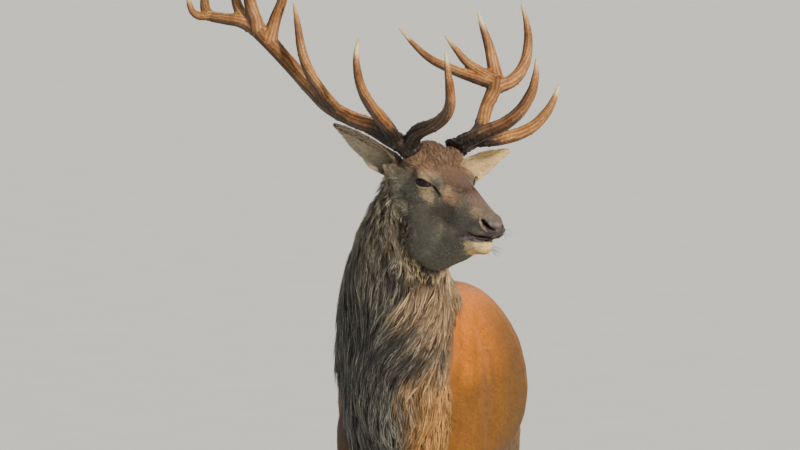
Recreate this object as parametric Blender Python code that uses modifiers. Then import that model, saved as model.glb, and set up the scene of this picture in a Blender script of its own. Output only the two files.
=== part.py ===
"""A red deer stag, life size, standing with its head turned to its left.

Metres, +Z up, +X the way the body faces, +Y the stag's left. The flesh is massed from lofts and muscle
ellipsoids, remeshed into one smooth body, and parted with thin cuts. The antlers are grown as tapering
tines, remeshed and split at their forks. At the end everything is moved so that the origin is on the
floor, under the middle of the whole stag.
"""

from math import cos, pi, radians, sin

import bmesh
import bpy
from mathutils import Euler, Matrix, Vector

# ---------------------------------------------------------------- driving dimensions
CUT_GAP = 0.0006  # width of the thin cuts between neighbouring solids
RING_SIDES = 28

HEAD_ORIGIN = Vector((0.468, 0.138, 1.480))  # midway between the eyes
HEAD_TURN = radians(43)  # to the stag's left
HEAD_NOD = radians(6.7)  # muzzle down

EYE_RADIUS = 0.0185
EYE_SEAT = (-0.002, 0.0675, 0.002)  # forward, sideways, up from HEAD_ORIGIN
BURR_SEAT = (-0.063, 0.070, 0.077)

FLESH_VOXEL = 0.0075
FLESH_TRIANGLES = 2600
ANTLER_VOXEL = 0.003
ANTLER_TRIANGLES = 380

COLOURS = {  # base colour, roughness
    "coat": ((0.42, 0.17, 0.06), 0.85),
    "mane": ((0.16, 0.12, 0.09), 0.9),
    "face": ((0.20, 0.14, 0.10), 0.85),
    "leg": ((0.17, 0.12, 0.08), 0.85),
    "antler": ((0.24, 0.13, 0.07), 0.5),
    "hoof": ((0.03, 0.025, 0.022), 0.35),
    "eye": ((0.015, 0.009, 0.006), 0.08),
}


# ---------------------------------------------------------------- scene and materials
def clear_scene():
    for obj in list(bpy.data.objects):
        bpy.data.objects.remove(obj)


def new_collection(name):
    collection = bpy.data.collections.new(name)
    bpy.context.scene.collection.children.link(collection)
    return collection


def material(name):
    found = bpy.data.materials.get(name)
    if found:
        return found
    colour, roughness = COLOURS[name]
    made = bpy.data.materials.new(name)
    made.use_nodes = True
    shader = made.node_tree.nodes["Principled BSDF"]
    shader.inputs["Base Color"].default_value = (*colour, 1)
    shader.inputs["Roughness"].default_value = roughness
    shader.inputs["Metallic"].default_value = 0
    made.diffuse_color = (*colour, 1)
    return made


# ---------------------------------------------------------------- shaping helpers
def mesh_object(name, mesh, collection):
    obj = bpy.data.objects.new(name, mesh)
    collection.objects.link(obj)
    return obj


def superellipse(angle, power):
    """A point on a rounded square of half-width 1: power 1 is a circle, lower is boxier."""
    c, s = cos(angle), sin(angle)
    return (
        abs(c) ** power * (1 if c >= 0 else -1),
        abs(s) ** power * (1 if s >= 0 else -1),
    )


def loft(name, rings, collection, sides=RING_SIDES):
    """A closed skin through rings, each (centre, half-side, half-up and half-down vectors, power)."""
    mesh = bpy.data.meshes.new(name)
    bm = bmesh.new()
    loops = []
    for centre, side, up, down, power in rings:
        loop = []
        for i in range(sides):
            across, height = superellipse(2 * pi * i / sides, power)
            reach = up * height if height >= 0 else down * -height
            loop.append(bm.verts.new(centre + side * across + reach))
        loops.append(loop)
    for lower, upper in zip(loops, loops[1:]):
        for i in range(sides):
            j = (i + 1) % sides
            bm.faces.new((lower[i], lower[j], upper[j], upper[i]))
    bm.faces.new(loops[0][::-1])
    bm.faces.new(loops[-1])
    bmesh.ops.recalc_face_normals(bm, faces=bm.faces)
    bm.to_mesh(mesh)
    bm.free()
    return mesh_object(name, mesh, collection)


def limb(name, stations, collection, sides=RING_SIDES):
    """A loft along a path. A station is (point, half-width along side, half-depth across it)."""
    side = Vector((0, 1, 0))
    points = [Vector(p) for p, _, _ in stations]
    rings = []
    for i, (_, width, depth) in enumerate(stations):
        ahead = points[min(i + 1, len(points) - 1)]
        behind = points[max(i - 1, 0)]
        tangent = (ahead - behind).normalized()
        fore = tangent.cross(side).normalized() * depth
        rings.append((points[i], side * width, fore, -fore, 1.0))
    return loft(name, rings, collection, sides)


def muscle(name, centre, radii, tilt, collection, segments=24):
    """An ellipsoid of the given half-axes, turned by tilt, in degrees about X, Y and Z."""
    mesh = bpy.data.meshes.new(name)
    bm = bmesh.new()
    bmesh.ops.create_uvsphere(bm, u_segments=segments, v_segments=segments * 2 // 3, radius=1)
    turn = Euler([radians(a) for a in tilt]).to_matrix().to_4x4()
    scale = Matrix.Diagonal((*radii, 1))
    bm.transform(Matrix.Translation(centre) @ turn @ scale)
    bm.to_mesh(mesh)
    bm.free()
    return mesh_object(name, mesh, collection)


def head_matrix():
    """Head coordinates, which are forward, left and up from between the eyes, to the stag's own."""
    turn = Matrix.Rotation(HEAD_TURN, 4, "Z") @ Matrix.Rotation(HEAD_NOD, 4, "Y")
    return Matrix.Translation(HEAD_ORIGIN) @ turn


def joined(name, objects, collection):
    bm = bmesh.new()
    for obj in objects:
        piece = obj.data.copy()
        piece.transform(obj.matrix_world)
        bm.from_mesh(piece)
        bpy.data.meshes.remove(piece)
        bpy.data.objects.remove(obj)
    mesh = bpy.data.meshes.new(name)
    bm.to_mesh(mesh)
    bm.free()
    return mesh_object(name, mesh, collection)


def baked(obj):
    """Replaces the object's mesh with what its modifiers make of it."""
    bpy.context.view_layer.update()
    graph = bpy.context.evaluated_depsgraph_get()
    mesh = bpy.data.meshes.new_from_object(obj.evaluated_get(graph))
    obj.modifiers.clear()
    obj.data = mesh
    return obj


def fuse(obj, voxel, smoothing, triangles):
    """Remeshes overlapping shapes into one surface, softens where they meet, and thins it."""
    remesh = obj.modifiers.new("fuse", "REMESH")
    remesh.mode = "VOXEL"
    remesh.voxel_size = voxel
    smooth = obj.modifiers.new("soften", "SMOOTH")
    smooth.factor = 0.5
    smooth.iterations = smoothing
    baked(obj)
    thin = obj.modifiers.new("thin", "DECIMATE")
    thin.ratio = triangles / (2 * len(obj.data.polygons))
    thin.use_collapse_triangulate = True
    return baked(obj)


def boolean(obj, cutter, operation):
    cut = obj.modifiers.new("cut", "BOOLEAN")
    cut.operation = operation
    cut.solver = "EXACT"
    cut.object = cutter
    baked(obj)
    return obj


def drop_slivers(obj):
    """Removes loose shavings a cut has left, keeping the largest piece."""
    bm = bmesh.new()
    bm.from_mesh(obj.data)
    islands = []
    unseen = set(bm.verts)
    while unseen:
        island = {unseen.pop()}
        edge = list(island)
        while edge:
            for link in edge.pop().link_edges:
                for vert in link.verts:
                    if vert in unseen:
                        unseen.remove(vert)
                        island.add(vert)
                        edge.append(vert)
        islands.append(island)
    largest = max(islands, key=len)
    loose = [vert for island in islands if island is not largest for vert in island]
    bmesh.ops.delete(bm, geom=loose, context="VERTS")
    bm.to_mesh(obj.data)
    bm.free()


def duplicate(obj, name, collection):
    return mesh_object(name, obj.data.copy(), collection)


def block(name, matrix, low, high, collection):
    """A box from corner low to corner high, in the axes of matrix."""
    mesh = bpy.data.meshes.new(name)
    bm = bmesh.new()
    bmesh.ops.create_cube(bm, size=1)
    low, high = Vector(low), Vector(high)
    scale = Matrix.Diagonal((*(high - low), 1))
    bm.transform(matrix @ Matrix.Translation((low + high) / 2) @ scale)
    bm.to_mesh(mesh)
    bm.free()
    return mesh_object(name, mesh, collection)


def axes_from(origin, normal, across=Vector((0, 1, 0))):
    """A matrix whose +Z is the normal, and whose +Y is as near to across as it can be."""
    z = Vector(normal).normalized()
    x = across.cross(z).normalized()
    y = z.cross(x)
    turn = Matrix((x, y, z)).transposed().to_4x4()
    return Matrix.Translation(origin) @ turn


def part_off(whole, name, matrix, reach, collection, cutters):
    """Cuts off what lies above the plane of matrix, within reach (x, y, z half-sizes), as a new object."""
    wide, broad, tall = reach
    piece = duplicate(whole, name, collection)
    keep = block("keep_" + name, matrix, (-wide, -broad, 0), (wide, broad, tall), cutters)
    boolean(piece, keep, "INTERSECT")
    drop = block(
        "drop_" + name, matrix, (-wide - CUT_GAP, -broad - CUT_GAP, -CUT_GAP),
        (wide + CUT_GAP, broad + CUT_GAP, tall + CUT_GAP), cutters,
    )
    boolean(whole, drop, "DIFFERENCE")
    return piece


def part_leg(whole, name, middle, side, reach, slant, collection, cutters):
    """Cuts a leg off under a plane through middle, which rises outwards by slant."""
    long, inwards, outwards = reach
    grown = []
    for label, gap in (("keep_", 0), ("drop_", CUT_GAP)):
        mesh = bpy.data.meshes.new(label + name)
        bm = bmesh.new()
        bmesh.ops.create_cube(bm, size=1)
        for vert in bm.verts:
            ahead = (long + gap) * (1 if vert.co.x > 0 else -1)
            across = outwards + gap if vert.co.y > 0 else -inwards - gap
            height = middle.z + slant * across + gap if vert.co.z > 0 else -0.1
            vert.co = (middle.x + ahead, middle.y + side * across, height)
        bm.normal_update()
        bmesh.ops.recalc_face_normals(bm, faces=bm.faces)
        bm.to_mesh(mesh)
        bm.free()
        grown.append(mesh_object(label + name, mesh, cutters))
    piece = duplicate(whole, name, collection)
    boolean(piece, grown[0], "INTERSECT")
    boolean(whole, grown[1], "DIFFERENCE")
    return piece


# ---------------------------------------------------------------- trunk and neck
def trunk_masses(c):
    # x, top, bottom, half-width
    barrel = [
        (0.290, 1.00, 0.83, 0.070),
        (0.240, 1.07, 0.73, 0.120),
        (0.160, 1.13, 0.665, 0.158),
        (0.070, 1.180, 0.630, 0.182),
        (-0.030, 1.198, 0.615, 0.198),
        (-0.150, 1.192, 0.612, 0.224),
        (-0.300, 1.178, 0.622, 0.246),
        (-0.440, 1.168, 0.642, 0.256),
        (-0.570, 1.162, 0.672, 0.246),
        (-0.700, 1.160, 0.715, 0.216),
        (-0.820, 1.152, 0.765, 0.180),
        (-0.930, 1.116, 0.815, 0.144),
        (-1.010, 1.062, 0.870, 0.108),
        (-1.055, 1.000, 0.930, 0.060),
    ]
    rings = []
    for x, top, bottom, width in barrel:
        middle = bottom + 0.43 * (top - bottom)
        rings.append((
            Vector((x, 0, middle)), Vector((0, width, 0)),
            Vector((0, 0, top - middle)), Vector((0, 0, bottom - middle)), 0.96,
        ))
    made = [loft("barrel", rings, c)]
    made.append(muscle("withers", (0.00, 0, 1.060), (0.42, 0.095, 0.142), (0, 6, 0), c))
    made.append(muscle("sheath", (-0.57, 0, 0.672), (0.10, 0.028, 0.040), (0, -14, 0), c))
    for side in (1, -1):
        blade = (0.020, side * 0.112, 0.93)
        made.append(muscle("shoulder_blade", blade, (0.150, 0.084, 0.23), (0, 20, 0), c))
        made.append(muscle("upper_arm", (0.055, side * 0.135, 0.80), (0.125, 0.066, 0.13), (0, -28, 0), c))
        made.append(muscle("haunch", (-0.800, side * 0.082, 0.925), (0.235, 0.098, 0.180), (0, 14, 0), c))
        made.append(muscle("thigh", (-0.850, side * 0.112, 0.83), (0.165, 0.078, 0.20), (0, 30, 0), c))
    return made


def neck_masses(c):
    # point, half-width, half-depth: the outline of the mane
    stations = [
        ((0.010, -0.008, 0.940), 0.172, 0.225),
        ((0.100, -0.014, 1.005), 0.173, 0.225),
        ((0.185, -0.016, 1.090), 0.166, 0.206),
        ((0.250, -0.012, 1.180), 0.156, 0.186),
        ((0.300, -0.004, 1.270), 0.143, 0.168),
        ((0.338, 0.010, 1.360), 0.123, 0.150),
        ((0.366, 0.030, 1.440), 0.096, 0.126),
        ((0.385, 0.048, 1.500), 0.062, 0.088),
    ]
    made = [limb("neck_core", stations, c)]
    made.append(muscle("mane_front", (0.200, -0.014, 0.910), (0.160, 0.150, 0.230), (0, 6, 0), c))
    made.append(muscle("mane_breast", (0.290, -0.006, 1.040), (0.125, 0.140, 0.240), (0, -12, 0), c))
    made.append(muscle("throat", (0.350, 0.030, 1.170), (0.110, 0.118, 0.220), (0, -10, 0), c))
    return made


def tail_masses(c):
    stations = [
        ((-0.975, 0, 1.062), 0.034, 0.030),
        ((-1.028, 0, 1.030), 0.033, 0.027),
        ((-1.062, 0, 0.985), 0.031, 0.024),
        ((-1.074, 0, 0.930), 0.026, 0.019),
        ((-1.073, 0, 0.886), 0.012, 0.011),
    ]
    return [limb("tail_core", stations, c)]


# ---------------------------------------------------------------- legs
FRONT_LEG = [  # x, y outwards, z, half-width, half-depth
    (0.000, 0.140, 0.800, 0.058, 0.095),
    (-0.020, 0.138, 0.700, 0.052, 0.074),
    (-0.012, 0.132, 0.620, 0.043, 0.056),
    (-0.002, 0.126, 0.530, 0.034, 0.043),
    (0.006, 0.122, 0.460, 0.031, 0.035),
    (0.010, 0.120, 0.415, 0.032, 0.036),
    (0.008, 0.119, 0.370, 0.026, 0.029),
    (0.006, 0.118, 0.280, 0.021, 0.024),
    (0.006, 0.118, 0.190, 0.021, 0.024),
    (0.008, 0.118, 0.140, 0.028, 0.030),
    (0.022, 0.118, 0.105, 0.026, 0.026),
    (0.040, 0.118, 0.065, 0.033, 0.030),
    (0.048, 0.118, 0.040, 0.031, 0.029),
]
HIND_LEG = [
    (-0.810, 0.130, 0.880, 0.064, 0.150),
    (-0.820, 0.140, 0.780, 0.060, 0.120),
    (-0.860, 0.142, 0.690, 0.050, 0.084),
    (-0.915, 0.138, 0.610, 0.039, 0.058),
    (-0.970, 0.134, 0.545, 0.031, 0.045),
    (-1.000, 0.132, 0.495, 0.031, 0.044),
    (-1.000, 0.130, 0.440, 0.029, 0.038),
    (-0.984, 0.129, 0.370, 0.023, 0.029),
    (-0.962, 0.127, 0.280, 0.021, 0.026),
    (-0.942, 0.126, 0.195, 0.021, 0.026),
    (-0.932, 0.126, 0.145, 0.027, 0.031),
    (-0.916, 0.126, 0.105, 0.025, 0.026),
    (-0.896, 0.126, 0.065, 0.030, 0.029),
    (-0.888, 0.126, 0.040, 0.031, 0.029),
]
# name: the leg's stations, which side, and how far its foot stands ahead
LEGS = {
    "front_left": (FRONT_LEG, 1, -0.030),
    "front_right": (FRONT_LEG, -1, 0.045),
    "hind_left": (HIND_LEG, 1, 0.045),
    "hind_right": (HIND_LEG, -1, -0.045),
}


def leg_station(leg, station):
    """A station's point, with the foot swung ahead in proportion to how low it is."""
    stations, side, ahead = LEGS[leg]
    x, y, z = station[:3]
    top = stations[0][2]
    swing = ahead * ((top - z) / top) ** 1.2
    return Vector((x + swing, side * y, z))


def leg_masses(c):
    made = []
    for leg, (stations, side, _) in LEGS.items():
        path = [(leg_station(leg, s), s[3], s[4]) for s in stations]
        made.append(limb("leg_core", path, c))
        if stations is HIND_LEG:
            hock = leg_station(leg, (-1.028, 0.132, 0.540))
            made.append(muscle("hock_point", hock, (0.026, 0.021, 0.052), (0, 24, 0), c))
        else:
            elbow = leg_station(leg, (-0.080, 0.135, 0.735))
            made.append(muscle("elbow", elbow, (0.048, 0.036, 0.060), (0, 0, 0), c))
    return made


CLAW_LENGTH, CLAW_WIDTH, CLAW_HEIGHT = 0.082, 0.034, 0.052


def dewclaw(name, leg, outwards, c, grow=0.0):
    """A small horn behind the fetlock. grow adds to its size all round."""
    stations, side, _ = LEGS[leg]
    fetlock = leg_station(leg, stations[-3])
    tip = fetlock + Vector((-0.044, side * outwards * 0.018, -0.030))
    root = fetlock + Vector((-0.018, side * outwards * 0.014, -0.002))
    reach = (tip - root).normalized() * grow
    path = [
        (root - reach, 0.011 + grow, 0.011 + grow),
        ((root + tip) / 2, 0.011 + grow, 0.010 + grow),
        (tip + reach, 0.005 + grow, 0.005 + grow),
    ]
    return limb(name, path, c, 10)


def hooves(c):
    """Two claws a foot, which stand on flat soles."""
    made = []
    for leg, (stations, side, _) in LEGS.items():
        foot = leg_station(leg, stations[-1])
        for toe, outwards in (("outer", 1), ("inner", -1)):
            middle = foot.y + side * outwards * (CLAW_WIDTH / 2 + CUT_GAP)
            rings = []
            # share of the length behind and ahead of the foot, half-width, at each height
            for height, back, front, width in (
                (0.0, -0.42, 0.62, 0.50), (0.35, -0.43, 0.55, 0.49),
                (0.75, -0.42, 0.42, 0.46), (1.0, -0.40, 0.33, 0.42),
            ):
                near, far = back * CLAW_LENGTH, front * CLAW_LENGTH
                centre = Vector((foot.x + (near + far) / 2, middle, height * CLAW_HEIGHT))
                half = Vector(((far - near) / 2, 0, 0))
                across = Vector((0, width * CLAW_WIDTH, 0))
                rings.append((centre, half, across, -across, 0.9))
            name = f"hoof_{leg}_{toe}"
            made.append(loft(name, rings, c, 14))
    return made


# ---------------------------------------------------------------- head
SKULL = [  # forward, half-width, top, bottom, power
    (-0.150, 0.040, 0.020, -0.060, 1.0),
    (-0.125, 0.060, 0.054, -0.090, 0.95),
    (-0.095, 0.069, 0.074, -0.105, 0.9),
    (-0.065, 0.072, 0.079, -0.112, 0.88),
    (-0.035, 0.072, 0.071, -0.115, 0.88),
    (0.000, 0.069, 0.053, -0.117, 0.9),
    (0.035, 0.061, 0.035, -0.118, 0.9),
    (0.070, 0.052, 0.017, -0.118, 0.9),
    (0.105, 0.045, 0.001, -0.117, 0.88),
    (0.138, 0.040, -0.018, -0.114, 0.88),
    (0.170, 0.037, -0.034, -0.110, 0.88),
    (0.198, 0.037, -0.046, -0.106, 0.88),
    (0.222, 0.036, -0.055, -0.101, 0.9),
    (0.238, 0.030, -0.062, -0.096, 0.95),
    (0.247, 0.018, -0.070, -0.090, 1.0),
]
JAW = [
    (-0.085, 0.036, -0.060, -0.160, 1.0),
    (-0.050, 0.054, -0.060, -0.200, 0.95),
    (0.000, 0.054, -0.070, -0.213, 0.95),
    (0.045, 0.047, -0.090, -0.205, 1.0),
    (0.090, 0.038, -0.105, -0.186, 1.0),
    (0.125, 0.032, -0.112, -0.164, 1.0),
    (0.155, 0.029, -0.116, -0.157, 0.95),
    (0.183, 0.028, -0.116, -0.153, 0.95),
    (0.204, 0.022, -0.118, -0.146, 1.0),
    (0.213, 0.013, -0.122, -0.138, 1.0),
]


def head_masses(c):
    rings = {"skull": SKULL, "jaw": JAW}
    made = []
    for name, sections in rings.items():
        stations = []
        for ahead, width, top, bottom, power in sections:
            middle = (top + bottom) / 2 if name == "jaw" else bottom + 0.60 * (top - bottom)
            stations.append((
                Vector((ahead, 0, middle)), Vector((0, width, 0)),
                Vector((0, 0, top - middle)), Vector((0, 0, bottom - middle)), power,
            ))
        made.append(loft(name, stations, c))
    for side in (1, -1):
        corner = (0.075, side * 0.026, -0.118)
        made.append(muscle("mouth_corner", corner, (0.065, 0.020, 0.036), (0, 10, side * -6), c))
    made.append(muscle("nose_pad", (0.225, 0, -0.075), (0.024, 0.031, 0.019), (0, 20, 0), c))
    made.append(muscle("tuft", (-0.060, 0, 0.066), (0.060, 0.045, 0.026), (0, 20, 0), c))
    for side in (1, -1):
        brow, lip = (0, side * 0.064, 0.014), (0.180, side * 0.020, -0.092)
        wing = (0.210, side * 0.024, -0.069)
        made.append(muscle("brow", brow, (0.036, 0.020, 0.022), (0, 14, side * -8), c))
        made.append(muscle("cheek", (-0.020, side * 0.046, -0.100), (0.078, 0.030, 0.085), (0, 25, 0), c))
        made.append(muscle("upper_lip", lip, (0.060, 0.020, 0.019), (0, 6, side * -4), c))
        made.append(muscle("nostril_wing", wing, (0.026, 0.014, 0.020), (0, 20, side * -15), c))
        made.append(muscle("temple", (-0.090, side * 0.060, 0.000), (0.055, 0.026, 0.055), (0, 0, 0), c))
        made.append(muscle("ear_root", (-0.108, side * 0.070, 0.002), (0.034, 0.034, 0.036), (0, 0, 0), c))
        seat = Vector((BURR_SEAT[0], side * BURR_SEAT[1], BURR_SEAT[2]))
        foot = Vector((-0.062, side * 0.050, 0.035))
        top = seat + (seat - foot).normalized() * 0.004
        made.append(limb("pedicle", [(foot, 0.033, 0.034), (seat, 0.029, 0.030), (top, 0.029, 0.030)], c))
    for obj in made:
        obj.data.transform(head_matrix())
    return made


# An ear in head coordinates: its root, its tip, and the way its open side faces.
EARS = {
    "ear_left": ((-0.108, 0.088, -0.032), (-0.085, 0.255, 0.062), (0.85, -0.15, -0.25)),
    "ear_right": ((-0.112, -0.086, 0.008), (-0.176, -0.232, 0.128), (0.46, -0.64, -0.60)),
}
EAR_HALF_WIDTHS = (0.030, 0.038, 0.043, 0.042, 0.038, 0.032, 0.0235, 0.0145, 0.005)
EAR_CUPPING = (1.35, 1.25, 1.10, 0.95, 0.80, 0.65, 0.50, 0.35, 0.2)  # how far round each section bends
EAR_WALL = 0.0065


def ear(name, c):
    """A cupped leaf: each section is an arc of a circle, open on the side that faces out."""
    root, tip, facing = (Vector(v) for v in EARS[name])
    along = (tip - root).normalized()
    length = (tip - root).length
    facing = (facing - along * facing.dot(along)).normalized()
    across = along.cross(facing)
    steps = 6
    mesh = bpy.data.meshes.new(name)
    bm = bmesh.new()
    rows = []
    count = len(EAR_HALF_WIDTHS)
    for i, (half, bend) in enumerate(zip(EAR_HALF_WIDTHS, EAR_CUPPING)):
        share = i / (count - 1)
        bow = 0.010 * sin(pi * share)
        centre = root + along * (length * share) - facing * bow
        radius = half / sin(min(bend, pi / 2)) if bend < pi / 2 else half
        row = []
        for j in range(steps + 1):
            angle = bend * (2 * j / steps - 1)
            point = centre + across * (radius * sin(angle)) - facing * (radius * (cos(angle) - cos(bend)))
            row.append(bm.verts.new(point))
        rows.append(row)
    for lower, upper in zip(rows, rows[1:]):
        for j in range(steps):
            bm.faces.new((lower[j], lower[j + 1], upper[j + 1], upper[j]))
    bmesh.ops.recalc_face_normals(bm, faces=bm.faces)
    bm.to_mesh(mesh)
    bm.free()
    mesh.transform(head_matrix())
    obj = mesh_object(name, mesh, c)
    wall = obj.modifiers.new("wall", "SOLIDIFY")
    wall.thickness = EAR_WALL
    wall.offset = 0
    return baked(obj)


# ---------------------------------------------------------------- antlers
# Points in head coordinates for the left antler (forward, outwards, up) with the radius there.
LEFT_ANTLER = {
    "beam": [
        ((-0.063, 0.070, 0.077), 0.0250), ((-0.075, 0.117, 0.089), 0.0235), ((-0.100, 0.167, 0.108), 0.0215),
        ((-0.135, 0.202, 0.133), 0.0180), ((-0.165, 0.236, 0.167), 0.0175), ((-0.190, 0.270, 0.197), 0.0190),
        ((-0.205, 0.289, 0.222), 0.0215),
    ],
    "brow_snag": [
        ((0.090, 0.156, 0.205), 0.0100), ((0.098, 0.173, 0.224), 0.0070), ((0.100, 0.182, 0.240), 0.0030),
    ],
    "brow_tine": [
        ((-0.050, 0.072, 0.090), 0.0215), ((0.000, 0.106, 0.124), 0.0190), ((0.060, 0.140, 0.164), 0.0170),
        ((0.103, 0.161, 0.228), 0.0145), ((0.116, 0.166, 0.280), 0.0100), ((0.112, 0.168, 0.328), 0.0032),
    ],
    "bez_tine": [
        ((-0.065, 0.122, 0.094), 0.0190), ((-0.020, 0.180, 0.105), 0.0180), ((0.015, 0.236, 0.132), 0.0155),
        ((0.030, 0.272, 0.171), 0.0130), ((0.030, 0.296, 0.208), 0.0090), ((0.020, 0.318, 0.247), 0.0032),
    ],
    "trez_tine": [
        ((-0.196, 0.283, 0.205), 0.0190), ((-0.188, 0.331, 0.226), 0.0170), ((-0.185, 0.358, 0.262), 0.0150),
        ((-0.197, 0.376, 0.306), 0.0130), ((-0.216, 0.384, 0.356), 0.0095), ((-0.236, 0.375, 0.414), 0.0032),
    ],
    "crown_tine_1": [
        ((-0.203, 0.280, 0.214), 0.0175), ((-0.250, 0.235, 0.228), 0.0145), ((-0.295, 0.204, 0.242), 0.0130),
        ((-0.340, 0.172, 0.262), 0.0105), ((-0.376, 0.147, 0.292), 0.0075), ((-0.410, 0.122, 0.330), 0.0030),
    ],
    "crown_tine_2": [
        ((-0.212, 0.277, 0.228), 0.0155), ((-0.258, 0.234, 0.260), 0.0120), ((-0.285, 0.213, 0.292), 0.0085),
        ((-0.310, 0.192, 0.327), 0.0030),
    ],
    "crown_tine_3": [
        ((-0.206, 0.290, 0.222), 0.0200), ((-0.225, 0.290, 0.262), 0.0165), ((-0.240, 0.284, 0.305), 0.0135),
        ((-0.250, 0.269, 0.350), 0.0095), ((-0.255, 0.252, 0.393), 0.0032),
    ],
}
RIGHT_ANTLER = {
    "beam": [
        ((-0.063, 0.072, 0.077), 0.0250), ((-0.080, 0.127, 0.106), 0.0235), ((-0.095, 0.179, 0.134), 0.0215),
        ((-0.115, 0.227, 0.152), 0.0200), ((-0.146, 0.271, 0.178), 0.0200), ((-0.182, 0.302, 0.216), 0.0190),
        ((-0.216, 0.330, 0.257), 0.0190), ((-0.250, 0.359, 0.298), 0.0195), ((-0.282, 0.382, 0.333), 0.0215),
        ((-0.306, 0.398, 0.356), 0.0225),
    ],
    "brow_tine": [
        ((-0.055, 0.084, 0.092), 0.0215), ((-0.020, 0.085, 0.128), 0.0195), ((0.035, 0.080, 0.153), 0.0175),
        ((0.080, 0.084, 0.178), 0.0160), ((0.116, 0.094, 0.212), 0.0145), ((0.131, 0.108, 0.258), 0.0125),
        ((0.130, 0.118, 0.304), 0.0090), ((0.118, 0.120, 0.350), 0.0032),
    ],
    "bez_tine": [
        ((-0.072, 0.119, 0.104), 0.0200), ((-0.040, 0.179, 0.154), 0.0175), ((-0.020, 0.235, 0.197), 0.0150),
        ((-0.005, 0.276, 0.240), 0.0130), ((0.000, 0.297, 0.284), 0.0110), ((-0.005, 0.301, 0.327), 0.0080),
        ((-0.015, 0.291, 0.367), 0.0034),
    ],
    "trez_tine": [
        ((-0.135, 0.256, 0.168), 0.0180), ((-0.142, 0.298, 0.212), 0.0160), ((-0.145, 0.336, 0.260), 0.0145),
        ((-0.160, 0.355, 0.315), 0.0125), ((-0.186, 0.355, 0.376), 0.0090), ((-0.214, 0.353, 0.436), 0.0034),
    ],
    "crown_spur": [
        ((-0.394, 0.474, 0.374), 0.0120), ((-0.414, 0.506, 0.374), 0.0100), ((-0.430, 0.518, 0.402), 0.0075),
        ((-0.437, 0.515, 0.436), 0.0030),
    ],
    "crown_tine_1": [
        ((-0.300, 0.394, 0.350), 0.0190), ((-0.335, 0.427, 0.368), 0.0170), ((-0.368, 0.453, 0.370), 0.0150),
        ((-0.402, 0.478, 0.378), 0.0140), ((-0.426, 0.475, 0.410), 0.0115), ((-0.440, 0.464, 0.450), 0.0085),
        ((-0.450, 0.454, 0.494), 0.0032),
    ],
    "crown_tine_2": [
        ((-0.320, 0.411, 0.362), 0.0165), ((-0.350, 0.419, 0.392), 0.0145), ((-0.378, 0.416, 0.424), 0.0120),
        ((-0.400, 0.411, 0.468), 0.0085), ((-0.410, 0.404, 0.520), 0.0032),
    ],
    "crown_tine_3": [
        ((-0.300, 0.396, 0.350), 0.0215), ((-0.314, 0.412, 0.412), 0.0165), ((-0.325, 0.417, 0.462), 0.0135),
        ((-0.331, 0.412, 0.516), 0.0095), ((-0.331, 0.398, 0.568), 0.0034),
    ],
    "crown_tine_4": [
        ((-0.272, 0.376, 0.326), 0.0190), ((-0.270, 0.366, 0.378), 0.0155), ((-0.265, 0.351, 0.428), 0.0125),
        ((-0.260, 0.340, 0.476), 0.0085), ((-0.257, 0.336, 0.522), 0.0032),
    ],
}
ANTLERS = {"left": (LEFT_ANTLER, 1), "right": (RIGHT_ANTLER, -1)}
BURR_RADIUS, BURR_HEIGHT = 0.036, 0.016
# how far along each tine it is parted from what it grows from, as a share of its control points' span
TINE_CUTS = {
    "brow_tine": 0.9, "brow_snag": 1.0, "bez_tine": 0.8, "trez_tine": 0.9, "crown_tine_1": 0.9,
    "crown_spur": 1.0, "crown_tine_2": 0.9, "crown_tine_3": 0.8, "crown_tine_4": 0.8,
}


def tine_curve(name, points, side, c, swell=1.0, grow=0.0):
    """A tapering round tube through the points. swell multiplies each radius and grow adds to it."""
    data = bpy.data.curves.new(name, "CURVE")
    data.dimensions = "3D"
    data.bevel_depth = 1.0
    data.bevel_resolution = 4
    data.resolution_u = 8
    data.use_fill_caps = True
    data.twist_mode = "MINIMUM"
    spline = data.splines.new("BEZIER")
    spline.bezier_points.add(len(points) - 1)
    for knot, (place, radius) in zip(spline.bezier_points, points):
        ahead, out, up = place
        knot.co = (ahead, side * out, up)
        knot.radius = radius * swell + grow
        knot.handle_left_type = knot.handle_right_type = "AUTO"
    curve = bpy.data.objects.new(name, data)
    c.objects.link(curve)
    bpy.context.view_layer.update()
    graph = bpy.context.evaluated_depsgraph_get()
    mesh = bpy.data.meshes.new_from_object(curve.evaluated_get(graph))
    bpy.data.objects.remove(curve)
    bm = bmesh.new()
    bm.from_mesh(mesh)
    bmesh.ops.remove_doubles(bm, verts=bm.verts, dist=0.00005)
    bmesh.ops.recalc_face_normals(bm, faces=bm.faces)
    bm.to_mesh(mesh)
    bm.free()
    mesh.transform(head_matrix())
    return mesh_object(name, mesh, c)


def along(points, share):
    """The points of a tine from a place that lies share of the way through its stations."""
    first = int(share)
    part = share - first
    (a, radius_a), (b, radius_b) = points[first], points[first + 1]
    start = tuple(p + (q - p) * part for p, q in zip(a, b))
    radius = radius_a + (radius_b - radius_a) * part
    return [(start, radius)] + list(points[first + 1:])


def backed_up(points, distance):
    """The same stations, with the first moved back along the tine."""
    (a, radius), (b, _) = points[0], points[1]
    step = (Vector(a) - Vector(b)).normalized() * distance
    return [(tuple(Vector(a) + step), radius)] + list(points[1:])


def overshoot(points, distance):
    """A place beyond the tine's tip."""
    (a, _), (b, _) = points[-2], points[-1]
    return tuple(Vector(b) + (Vector(b) - Vector(a)).normalized() * distance)


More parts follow.
